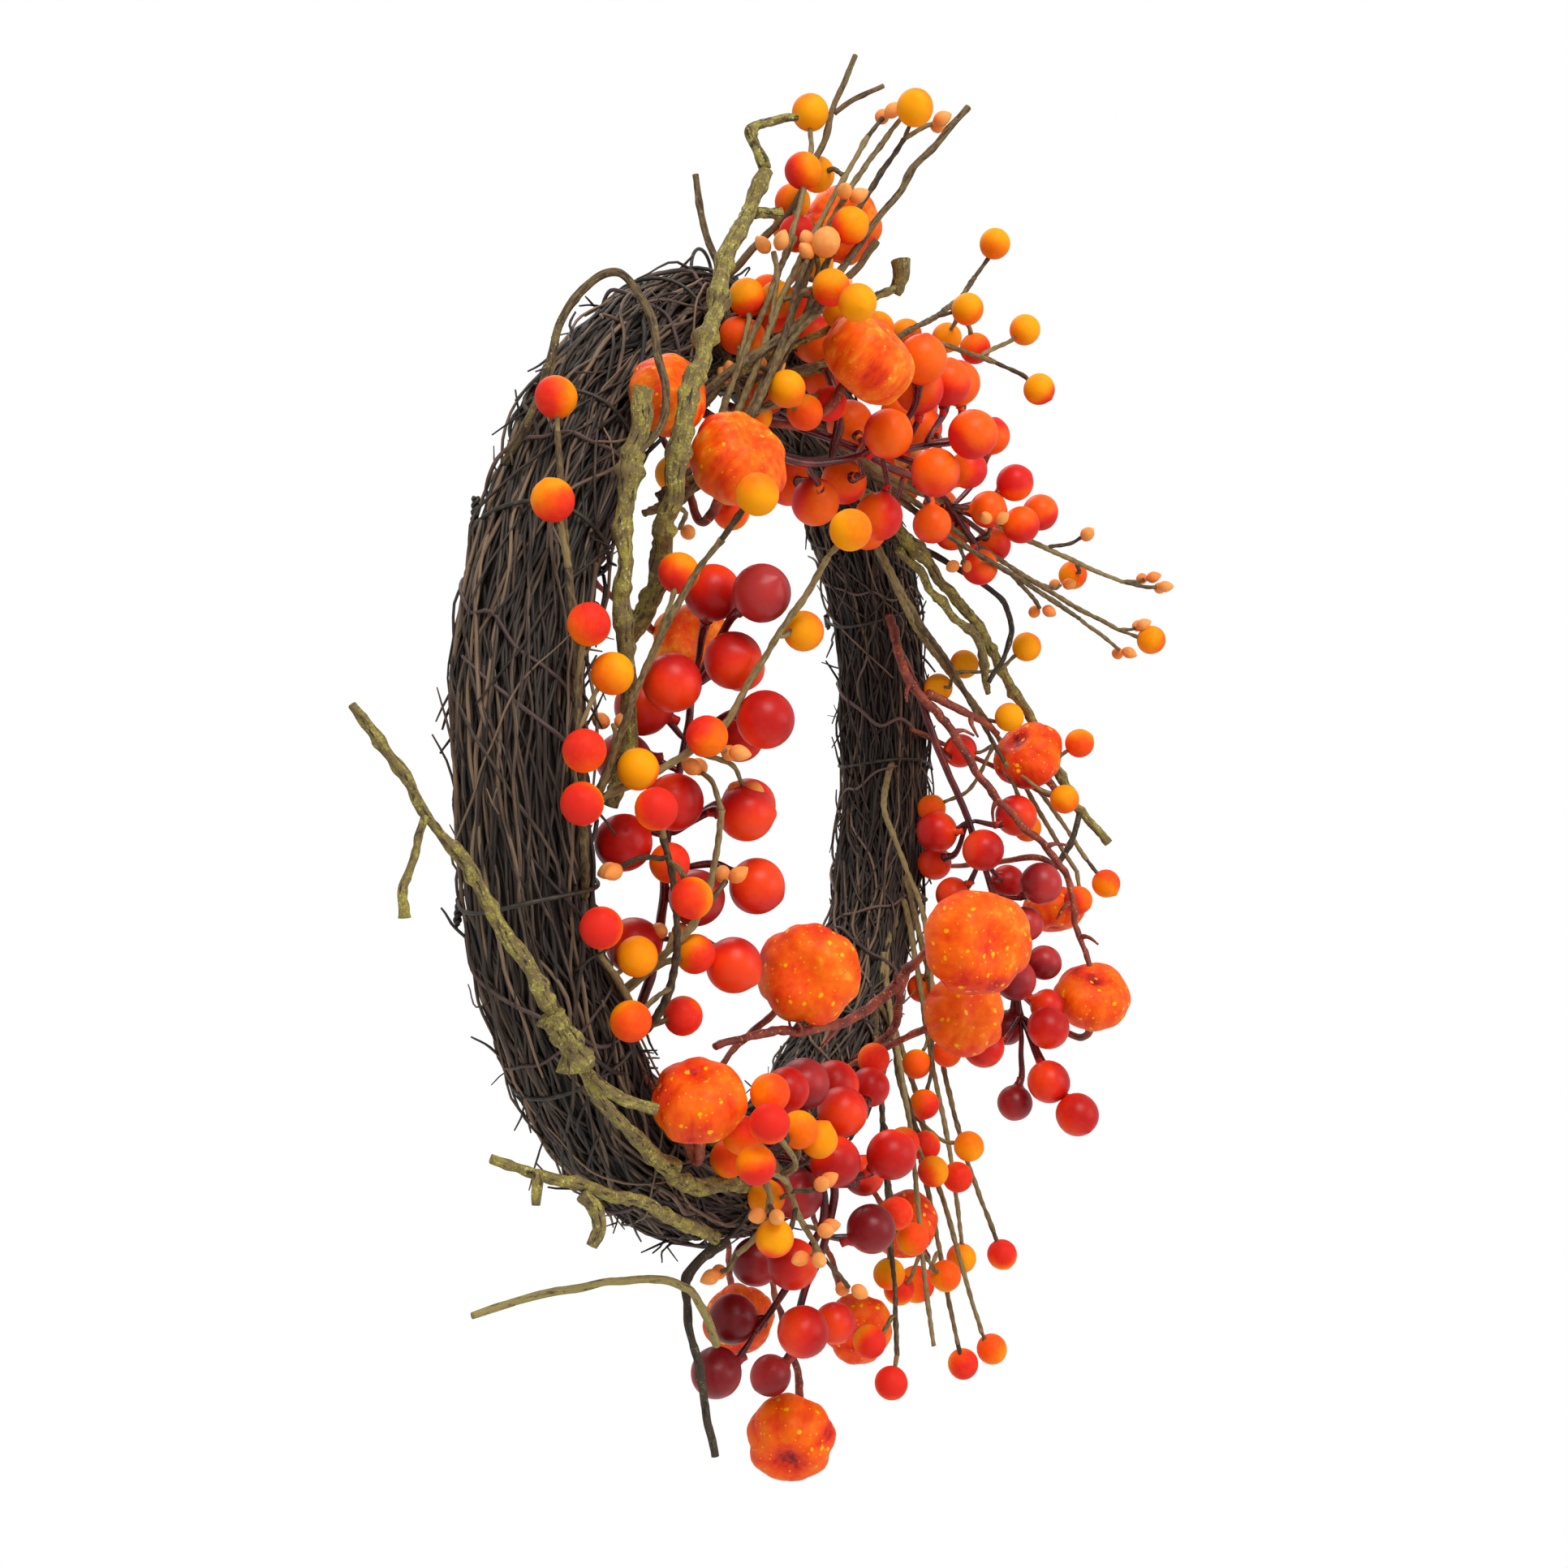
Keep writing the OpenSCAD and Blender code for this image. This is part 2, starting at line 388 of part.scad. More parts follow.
// ---- Places, curves and tubes ----

function at(p) = ring_centre + [(ring_r + p[1]) * sin(p[0]), -p[2], (ring_r + p[1]) * cos(p[0])];
function places(list) = [for (p = list) at(p)];
function unit(v) = v / norm(v);
function facing(turn, tilt) = [sin(turn) * cos(tilt), -cos(turn) * cos(tilt), sin(tilt)];

// A point a share t of the way along the smooth curve through a list of points
function between(a, b, c, d, u) =
    b + u * (c - a) / 2 + u * u * (2 * a - 5 * b + 4 * c - d) / 2 + u * u * u * (3 * b - a - 3 * c + d) / 2;
function along(pts, t) =
    let (last = len(pts) - 1, i = min(floor(t * last), last - 1), u = t * last - i)
    between(pts[max(i - 1, 0)], pts[i], pts[i + 1], pts[min(i + 2, last)], u);
function curve(pts, rings) = [for (k = [0 : rings - 1]) along(pts, k / (rings - 1))];

// A sideways direction at every point of a line, carried along it without twisting
function heading(line, i) = unit(line[min(i + 1, len(line) - 1)] - line[max(i - 1, 0)]);
function sideways(v) = unit(cross(v, abs(v.z) < steep ? [0, 0, 1] : [1, 0, 0]));
function frames(line, i = 0, side = undef) =
    i == len(line) ? [] :
    let (a = heading(line, i), s = is_undef(side) ? sideways(a) : unit(side - (side * a) * a))
    concat([[s, cross(a, s)]], frames(line, i + 1, s));

// A closed tube: a point at each end, and a ring of points round each point of the line
function tube_points(line, r1, r2, sides) =
    let (f = frames(line), last = len(line) - 1)
    [
        line[0] - tip * r1 * heading(line, 0),
        for (i = [0 : last], k = [0 : sides - 1])
            let (a = 360 * k / sides)
            line[i] + (r1 + (r2 - r1) * i / last) * (cos(a) * f[i][0] + sin(a) * f[i][1]),
        line[last] + tip * r2 * heading(line, last),
    ];
function tube_faces(first, rings, sides) =
    let (end = first + rings * sides + 1)
    [
        for (k = [0 : sides - 1]) [first, first + 1 + k, first + 1 + (k + 1) % sides],
        for (i = [0 : rings - 2], k = [0 : sides - 1])
            let (p = first + 1 + i * sides + k, q = first + 1 + i * sides + (k + 1) % sides)
            each [[p, q + sides, q], [p, p + sides, q + sides]],
        for (k = [0 : sides - 1]) [end, end - sides + (k + 1) % sides, end - sides + k],
    ];
function before(counts, i) = i == 0 ? 0 : before(counts, i - 1) + counts[i - 1];

// Several separate tubes, each given as [line, start radius, end radius, sides]
module tubes(list) {
    counts = [for (t = list) len(t[0]) * t[3] + 2];
    polyhedron(
        points = [for (t = list) each tube_points(t[0], t[1], t[2], t[3])],
        faces = [
            for (i = [0 : len(list) - 1]) each tube_faces(before(counts, i), len(list[i][0]), list[i][3])]
    );
}

module twigs(list, shade) {
    color(shade) tubes([for (t = list)
        let (rings = len(t[0]) > short_twig_rings ? twig_rings : short_twig_rings)
        [curve(places(t[0]), rings), t[1] / 2, t[2] / 2, twig_sides]]);
}

// ---- Picks ----

// The line of a side stem, from beside the main stem to the skin of what it carries
function side_line(main, main_r, b) =
    let (
        root = along(main, b[3]),
        end = at(b),
        middle = (root + end) / 2 + side_bow * norm(end - root) * unit(root - main[0] + rootless_bow),
        start = root + (main_r + side_stem_d / 2) * unit(middle - root),
        skin = end - b[4] / 2 * unit(end - middle)
    )
    [start, middle, skin];

// Main and side stems of a pick; neck is the side stem's diameter where it meets its berry
module stems(pick, main_d, neck_d, shade) {
    color(shade) tubes([for (s = pick)
        let (main = places(s[0]))
        each concat(
            [[curve(main, stem_rings), main_d / 2, main_taper * main_d / 2, stem_sides]],
            [for (b = s[1])
                [side_line(main, main_d / 2, b), side_stem_d / 2, (b[5] == BUD ? side_stem_d : neck_d) / 2,
                    side_stem_sides]]
        )]);
}

module berries(pick, tones, shade) {
    color(shade)
        for (s = pick, b = s[1])
            if (len([for (tone = tones) if (tone == b[5]) tone]) > 0)
                translate(at(b)) sphere(d = b[4]);
}

module aim(v) rotate([0, acos(v.z), atan2(v.y, v.x)]) children();

// Bud pairs that fork from the end of their side stem
module buds(pick, main_d, shade) {
    outline = [[0, 0], [0.3, 0.1], [0.5, 0.4], [0.45, 0.68], [0.22, 0.92], [0, 1]];
    color(shade)
        for (s = pick, b = s[1])
            if (b[5] == BUD) {
                line = side_line(places(s[0]), main_d / 2, b);
                way = unit(line[2] - line[1]);
                across = sideways(way);
                for (side = [-1, 1])
                    translate(line[2] + side * pip_gap * pip_d * across)
                        aim(unit(cos(pip_lean) * way + side * sin(pip_lean) * across))
                            rotate_extrude() polygon([for (p = outline) [p.x * pip_d, p.y * pip_len]]);
            }
}

// A thorny stem's thorns are short spikes that lean along the stem.
module thorny(list) {
    r = thorny_stem_d / 2;
    color("firebrick") tubes([for (s = list)
        let (main = places(s[0]), line = curve(main, stem_rings))
        each concat(
            [[line, r, thorny_taper * r, stem_sides]],
            [for (thorn = s[1])
                let (
                    p = along(main, thorn[0]),
                    way = unit(along(main, thorn[0] + thorn_reach) - along(main, thorn[0] - thorn_reach)),
                    side = sideways(way),
                    out = cos(thorn[1]) * side + sin(thorn[1]) * cross(way, side)
                )
                [[p + thorn_start * r * out,
                    p + (thorn_start * r + thorn_len / 2) * out + thorn_lean * thorn_len * way,
                    p + (thorn_start * r + thorn_len) * out + thorn_len * way],
                    thorny_taper * r, thorn_tip * r, side_stem_sides]]
        )]);
}

// ---- Mini pumpkins ----

function pumpkin_point(middle, w, axis, side, up, k, i) =
    let (
        fall = 180 * i / (pumpkin_rings + 1),
        rib = 1 - groove * (k % 2),
        out = w / 2 * pow(sin(fall), pumpkin_fullness) * rib,
        high = pumpkin_flat * w / 2 * cos(fall) * (1 - rim_fall * pow(abs(cos(fall)), rim_power)),
        a = 360 * k / pumpkin_around
    )
    middle + high * axis + out * (cos(a) * side + sin(a) * up);
function pumpkin_points(p) =
    let (
        middle = at(p[0]),
        w = p[1] * pumpkin_scale,
        axis = facing(p[2][0], p[2][1]),
        side = sideways(axis),
        up = cross(axis, side),
        end = dimple * pumpkin_flat * w / 2
    )
    [
        middle + end * axis,
        for (i = [1 : pumpkin_rings], k = [0 : pumpkin_around - 1])
            pumpkin_point(middle, w, axis, side, up, pumpkin_around - k, i),
        middle - end * axis,
    ];
module pumpkins(list) {
    count = pumpkin_rings * pumpkin_around + 2;
    color("darkorange") polyhedron(
        points = [for (p = list) each pumpkin_points(p)],
        faces = [for (i = [0 : len(list) - 1]) each tube_faces(i * count, pumpkin_rings, pumpkin_around)]
    );
}

// Each pumpkin's own stem leaves the bundle and is glued into the end behind its blossom end.
module pumpkin_stems(lists) {
    color("sienna") tubes([for (list = lists, p = list)
        let (
            axis = facing(p[2][0], p[2][1]),
            start = at(p[3]),
            behind = at(p[0]) - stem_bend * p[1] * axis,
            seat = at(p[0]) - stem_seat * p[1] * pumpkin_flat * axis,
            bow = (start + behind) / 2 + stem_rise * unit(behind - at([p[3][0], 0, 0]))
        )
        [curve([start, bow, behind, seat], pumpkin_stem_rings), side_stem_d / 2, side_stem_d, stem_sides]]);
}

// ---- Ring, binding and hanger ----

module loop(clock, out, lift, r, wire) {
    translate(at([clock, out, lift])) rotate([0, clock, 0]) rotate([0, 90, 0])
        rotate_extrude() translate([r, 0]) circle(d = wire);
}

module twig_ring() {
    color("dimgray") translate(ring_centre) rotate([90, 0, 0])
        rotate_extrude($fn = ring_facets) translate([ring_r, 0]) circle(d = bundle_d);
}

module binding_vine() {
    color("darkslategray")
        for (clock = BINDINGS) loop(clock, 0, 0, bundle_r + binding_lie * vine_d, vine_d);
}

module tie_wires() {
    color("olivedrab")
        for (clock = TIES) loop(clock, -tie_shift, tie_shift, bundle_r + wire_d / 2, wire_d);
}

module hanger_wrap() {
    color("olivedrab")
        for (clock = [-wrap_step, 0, wrap_step]) loop(clock, 0, 0, bundle_r + wire_d / 2, wire_d);
}

// The hanging loop, with the short twist of wire that joins it to its wrap
module hanger_loop() {
    bottom = at([0, twist_out, loop_lift]);
    color("olivedrab") {
        rotate([90, 0, 0]) translate([0, -loop_r + wire_d / 2, 0])
            rotate_extrude() translate([loop_r, 0]) circle(d = wire_d);
        translate([0, 0, bottom.z]) cylinder(h = twist_len, d = 2 * wire_d);
    }
}

twig_ring();
binding_vine();
tie_wires();
hanger_wrap();
hanger_loop();
twigs(HOOKED, "olive");  // hooked_twig
twigs(UPRIGHT, "olive");  // upright_twig
twigs(ARCHED, "saddlebrown");  // arched_vine
twigs(STRAIGHT, "olive");  // straight_twig
twigs(LONG_TOP, "olivedrab");  // long_top_twigs
twigs(CROSSING, "olive");  // crossing_twig
twigs(FORKED, "darkolivegreen");  // forked_twig
twigs(DROOPING, "olive");  // drooping_branch
twigs(LOWER_LEFT, "olive");  // lower_left_twig
twigs(BARE, "darkkhaki");  // bare_twig
twigs(BOTTOM_DARK, "darkslategray");  // bottom_dark_twig
twigs(RIGHT_MOSSY, "olive");  // right_mossy_twig
twigs(RIGHT_DARK, "darkslategray");  // right_dark_twig
stems(LEFT_SMALL, paper_stem_d, side_stem_d, "olive");  // left_paper_stems
berries(LEFT_SMALL, [RED], "orangered");  // left_red_berries
berries(LEFT_SMALL, [AMBER], "orange");  // left_amber_berries
buds(LEFT_SMALL, paper_stem_d, "sandybrown");  // left_buds
stems(LEFT_LARGE, moulded_stem_d, moulded_stem_d, "maroon");  // left_moulded_stem
berries(LEFT_LARGE, [RED], "red");  // left_large_red_berries
berries(LEFT_LARGE, [DARK], "darkred");  // left_large_dark_berries
stems(TOP_SMALL, paper_stem_d, side_stem_d, "olive");  // top_paper_stems
berries(TOP_SMALL, [RED], "orangered");  // top_red_berries
berries(TOP_SMALL, [AMBER], "orange");  // top_amber_berries
buds(TOP_SMALL, paper_stem_d, "sandybrown");  // top_buds
stems(UPPER_RIGHT_SMALL, paper_stem_d, side_stem_d, "olive");  // upper_right_paper_stems
berries(UPPER_RIGHT_SMALL, [RED, AMBER], "orange");  // upper_right_berries
stems(TOP_LARGE, moulded_stem_d, moulded_stem_d, "maroon");  // top_moulded_stem
berries(TOP_LARGE, [RED], "orangered");  // top_large_berries
stems(RIGHT_BUDS, paper_stem_d, side_stem_d, "olive");  // right_bud_stems
berries(RIGHT_BUDS, [RED], "orangered");  // right_bud_stem_berries
buds(RIGHT_BUDS, paper_stem_d, "sandybrown");  // right_buds
stems(RIGHT_SMALL, paper_stem_d, side_stem_d, "olive");  // right_paper_stems
berries(RIGHT_SMALL, [RED], "orangered");  // right_red_berries
berries(RIGHT_SMALL, [AMBER], "orange");  // right_amber_berries
stems(RIGHT_LARGE, moulded_stem_d, moulded_stem_d, "maroon");  // right_moulded_stem
berries(RIGHT_LARGE, [RED], "red");  // right_large_red_berries
berries(RIGHT_LARGE, [DARK], "darkred");  // right_large_dark_berries
thorny(RIGHT_THORNY);  // right_thorny_stem
thorny(CENTRE_THORNY);  // centre_thorny_stem
stems(BOTTOM_SMALL, paper_stem_d, side_stem_d, "olive");  // bottom_paper_stems
berries(BOTTOM_SMALL, [RED, AMBER], "orange");  // bottom_berries
buds(BOTTOM_SMALL, paper_stem_d, "sandybrown");  // bottom_buds
stems(HANGING_SMALL, paper_stem_d, side_stem_d, "olive");  // hanging_paper_stems
berries(HANGING_SMALL, [RED, DARK], "orangered");  // hanging_red_berries
berries(HANGING_SMALL, [AMBER], "orange");  // hanging_amber_berries
stems(BOTTOM_LARGE, moulded_stem_d, moulded_stem_d, "maroon");  // bottom_moulded_stem
berries(BOTTOM_LARGE, [RED], "red");  // bottom_large_red_berries
berries(BOTTOM_LARGE, [DARK], "darkred");  // bottom_large_dark_berries
pumpkins(TOP_PUMPKINS);  // top_pumpkins
pumpkins(CENTRE_PUMPKINS);  // centre_pumpkins
pumpkins(RIGHT_PUMPKINS);  // right_pumpkins
pumpkins(BOTTOM_PUMPKINS);  // bottom_pumpkins
pumpkin_stems([TOP_PUMPKINS, CENTRE_PUMPKINS, RIGHT_PUMPKINS, BOTTOM_PUMPKINS]);
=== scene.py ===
"""The looks of a harvest door wreath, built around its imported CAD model.

Metres, +Z up, and the front of the wreath faces -Y. Every piece is grown on the CAD solid that it stands for:
a ball gives a berry its place and size, a plain tube gives a stem or a twig its line, and the torus gives the
ring its bundle. Angles round the wreath are clock angles, from 12 o'clock towards 3 o'clock as seen from the
front, in radians. Ripples, kinks and tones come from one seeded source of random numbers.
"""

import math

import bpy
import numpy as np
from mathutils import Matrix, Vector


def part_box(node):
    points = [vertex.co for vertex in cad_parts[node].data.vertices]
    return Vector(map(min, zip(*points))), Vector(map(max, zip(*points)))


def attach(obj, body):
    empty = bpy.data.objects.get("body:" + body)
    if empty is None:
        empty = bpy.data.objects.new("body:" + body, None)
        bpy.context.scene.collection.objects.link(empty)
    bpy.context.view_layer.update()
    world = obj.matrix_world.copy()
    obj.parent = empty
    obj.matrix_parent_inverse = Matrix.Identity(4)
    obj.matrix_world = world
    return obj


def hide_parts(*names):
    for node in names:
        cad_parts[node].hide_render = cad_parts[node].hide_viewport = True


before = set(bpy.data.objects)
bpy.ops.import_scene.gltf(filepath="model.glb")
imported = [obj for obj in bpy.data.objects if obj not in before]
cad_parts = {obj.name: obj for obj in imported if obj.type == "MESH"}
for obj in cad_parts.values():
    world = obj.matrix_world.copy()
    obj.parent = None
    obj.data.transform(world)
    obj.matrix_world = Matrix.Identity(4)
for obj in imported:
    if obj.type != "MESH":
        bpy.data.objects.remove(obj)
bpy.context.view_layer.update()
MM = 0.001
TURN = 2 * math.pi
rng = np.random.default_rng(12)


# ---- Reading the CAD solids ----


def shells(node):
    """The separate closed shells of a CAD node, each as its points and its triangles."""
    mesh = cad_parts[node].data
    mesh.calc_loop_triangles()
    places = np.empty(len(mesh.vertices) * 3, np.float32)
    mesh.vertices.foreach_get("co", places)
    corners = np.empty(len(mesh.loop_triangles) * 3, np.int32)
    mesh.loop_triangles.foreach_get("vertices", corners)
    points, same = np.unique(places.reshape(-1, 3), axis=0, return_inverse=True)
    triangles = same.reshape(-1)[corners].reshape(-1, 3)
    label = np.arange(len(points))
    while True:
        lower = label.copy()
        for corner in range(3):
            np.minimum.at(lower, triangles[:, corner], label[triangles].min(axis=1))
        lower = lower[lower]
        if (lower == label).all():
            break
        label = lower
    found = []
    for first in np.unique(label):
        mine = np.flatnonzero(label == first)
        number = np.full(len(points), -1)
        number[mine] = np.arange(len(mine))
        found.append((points[mine].astype(float), number[triangles[label[triangles[:, 0]] == first]]))
    return found


def balls(node):
    """The centre and radius of each ball in a CAD node."""
    boxes = [(points.min(0), points.max(0)) for points, _ in shells(node)]
    return [((low + high) / 2, (high - low).max() / 2) for low, high in boxes]


def layers(points, triangles):
    """The rings of points of a closed tube or pumpkin, from the point at one end to the one at the other."""
    near = [set() for _ in points]
    for triangle in triangles.tolist():
        for corner in triangle:
            near[corner].update(triangle)
    far_first = np.argsort(-np.linalg.norm(points - points.mean(0), axis=1))
    for end in far_first.tolist():
        found, seen = [{end}], {end}
        while found[-1]:
            found.append(set().union(*(near[p] for p in found[-1])) - seen)
            seen |= found[-1]
        found.pop()
        if len(found) > 3 and len(found[-1]) == 1 and len({len(ring) for ring in found[1:-1]}) == 1:
            return [points[sorted(ring)] for ring in found]
    raise ValueError("this shell isn't a tube")


def tubes(node):
    """The centreline and radii of each tube in a CAD node, thick end first."""
    found = []
    for shell in shells(node):
        rings = layers(*shell)[1:-1]
        line = np.array([ring.mean(0) for ring in rings])
        radii = np.array([length(ring - ring.mean(0)).mean() for ring in rings])
        if radii[0] < radii[-1]:
            line, radii = line[::-1], radii[::-1]
        found.append((line, radii))
    return found


# ---- Lines, noise and meshes ----


def length(vectors):
    return np.linalg.norm(vectors, axis=-1)


def unit(vectors):
    return vectors / length(vectors)[..., None]


def nearest(places, point):
    return places[length(places - point).argmin()]


def travelled(line):
    """The distance along a line at each of its points."""
    return np.concatenate([[0], np.cumsum(length(np.diff(line, axis=0)))])


def around(sides):
    """Evenly spaced angles round a whole turn."""
    return np.arange(sides) / sides * TURN


def spokes(axis, sides):
    """Evenly spaced directions square to an axis."""
    side = unit(np.cross(axis, (0, 0, 1) if abs(axis[2]) < 0.9 else (1, 0, 0)))
    turn = around(sides)
    return np.cos(turn)[:, None] * side + np.sin(turn)[:, None] * np.cross(axis, side)


LATTICE = np.random.default_rng(3).uniform(-1, 1, (64, 64, 64))


def noise(points, size):
    """Smooth noise from -1 to 1 at each point, with bumps about size metres across."""
    scaled = np.asarray(points) / size
    cell = np.floor(scaled).astype(int)
    part = scaled - cell
    part = part * part * (3 - 2 * part)
    total = 0
    for corner in np.ndindex(2, 2, 2):
        share = np.where(corner, part, 1 - part).prod(axis=-1)
        total = total + share * LATTICE[tuple(((cell + corner) % 64)[..., axis] for axis in range(3))]
    return total


def smooth(points, radii, step):
    """A dense line through a few points on one smooth curve, with points about step apart, and its radii."""
    knots = np.vstack([2 * points[0] - points[1], points, 2 * points[-1] - points[-2]])
    line, wide = [], []
    for i in range(len(points) - 1):
        a, b, c, d = knots[i : i + 4]
        u = np.arange(0, 1, 1 / max(2, round(length(c - b) / step)))[:, None]
        curve = b + u * (c - a) / 2 + u**2 * (2 * a - 5 * b + 4 * c - d) / 2
        line.append(curve + u**3 * (3 * b - a - 3 * c + d) / 2)
        wide.append(radii[i] + (radii[i + 1] - radii[i]) * u[:, 0])
    return np.vstack([*line, points[-1:]]), np.concatenate([*wide, radii[-1:]])


def across(line):
    """The direction of a line at each point, and two sideways directions carried along it untwisted."""
    way = unit(np.gradient(line, axis=0))
    side = np.cross(way[0], (0, 0, 1) if abs(way[0][2]) < 0.9 else (1, 0, 0))
    sides = []
    for forward in way:
        side = unit(side - forward * (side @ forward))
        sides.append(side)
    return way, np.array(sides), np.cross(way, sides)


class Piece:
    """A mesh gathered from closed sleeves, with numbers on its points for its material to read."""

    def __init__(self):
        self.points, self.faces, self.numbers, self.count = [], [], {}, 0

    def keep(self, points, faces, numbers):
        self.faces += [face + self.count for face in faces]
        self.points.append(points)
        self.count += len(points)
        for name, values in numbers.items():
            self.numbers.setdefault(name, []).append(values)

    def sleeve(self, rings, first, last, **numbers):
        """Adds rings of points, closed at each end by one point. Each number is one for all or one for each
        point of the rings."""
        count, sides = rings.shape[:2]
        k = np.arange(sides)
        after = (k + 1) % sides
        ring = 1 + np.arange(count - 1)[:, None] * sides
        quads = np.stack([ring + k, ring + after, ring + sides + after, ring + sides + k], axis=-1)
        end = 1 + count * sides
        top = end - sides
        fans = [
            np.stack([0 * k, 1 + after, 1 + k], axis=-1),
            np.stack([0 * k + end, top + k, top + after], axis=-1),
        ]
        spread = {}
        for name, values in numbers.items():
            values = np.asarray(values, float)
            if values.ndim == 0:
                values = np.full((count, sides), float(values))
            start, finish = (values[row].mean(0).reshape(1, -1) for row in (0, -1))
            spread[name] = np.vstack([start, values.reshape(count * sides, -1), finish])
        points = np.vstack([np.reshape(first, (1, 3)), rings.reshape(-1, 3), np.reshape(last, (1, 3))])
        self.keep(points, [quads.reshape(-1, 4), *fans], spread)

    def finish(self, name, material, slot, *nodes):
        """Makes the object, which rides on the wreath and stands for those CAD nodes, if any."""
        sizes = np.concatenate([np.full(len(face), face.shape[1]) for face in self.faces])
        corners = np.concatenate([face.ravel() for face in self.faces])
        mesh = bpy.data.meshes.new(name)
        mesh.vertices.add(self.count)
        mesh.vertices.foreach_set("co", np.vstack(self.points).astype(np.float32).ravel())
        mesh.loops.add(len(corners))
        mesh.loops.foreach_set("vertex_index", corners.astype(np.int32))
        mesh.polygons.add(len(sizes))
        mesh.polygons.foreach_set("loop_start", (np.cumsum(sizes) - sizes).astype(np.int32))
        mesh.polygons.foreach_set("use_smooth", np.ones(len(sizes), bool))
        mesh.update(calc_edges=True)
        for key, values in self.numbers.items():
            flat = np.vstack(values).astype(np.float32)
            kind, field = ("FLOAT_VECTOR", "vector") if flat.shape[1] == 3 else ("FLOAT", "value")
            mesh.attributes.new(key, kind, "POINT").data.foreach_set(field, flat.ravel())
        mesh.materials.append(material)
        piece = bpy.data.objects.new(name, mesh)
        bpy.context.scene.collection.objects.link(piece)
        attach(piece, "root")
        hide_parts(*nodes)


def unrolled(radii, along, sides):
    """Places on the skin of a tube as if it were straight, so that bumps and streaks follow its length."""
    turn = around(sides)
    places = np.empty((len(along), sides, 3))
    places[..., 0] = radii.mean() * np.cos(turn)
    places[..., 1] = radii.mean() * np.sin(turn)
    places[..., 2] = along[:, None]
    return places


def wrap(piece, line, radii, blunt=0.25, **numbers):
    """Adds a tube along a line. radii has one value for each point of the line and each side, and blunt is
    how far its ends bulge, as a share of its radius."""
    way, side, up = across(line)
    sides = radii.shape[1]
    turn = around(sides)
    out = np.cos(turn)[:, None] * side[:, None] + np.sin(turn)[:, None] * up[:, None]
    piece.sleeve(
        line[:, None] + radii[..., None] * out,
        line[0] - blunt * radii[0].mean() * way[0],
        line[-1] + blunt * radii[-1].mean() * way[-1],
        grain=unrolled(radii, travelled(line), sides) + rng.uniform(-1, 1, 3),
        **numbers,
    )


def grooves(radii, along, sides, size, stretch=6):
    """Noise for a tube's surface whose bumps are size metres across and stretch times as long."""
    return noise(unrolled(radii, along / stretch, sides) + rng.uniform(0, 1, 3), size)


def uneven(radii, sides, amount):
    """Radii for each side of a tube, each a little off."""
    return radii[:, None] * (1 + amount * rng.normal(size=(len(radii), sides)))


def wobble(line, amount, size):
    """A line with small kinks along it, and its ends left where they are."""
    along = travelled(line)
    ease = np.clip(np.minimum(along, along[-1] - along) / size, 0, 1)
    push = np.stack([noise(line + shift, size) for shift in (0.11, 0.37, 0.73)], axis=-1)
    return line + amount * ease[:, None] * push


# ---- Materials ----


def rgb(red, green, blue):
    """A colour given as screen values from 0 to 255, in linear light."""
    channels = [value / 255 for value in (red, green, blue)]
    return (*(((c + 0.055) / 1.055) ** 2.4 if c > 0.04 else c / 12.92 for c in channels), 1)


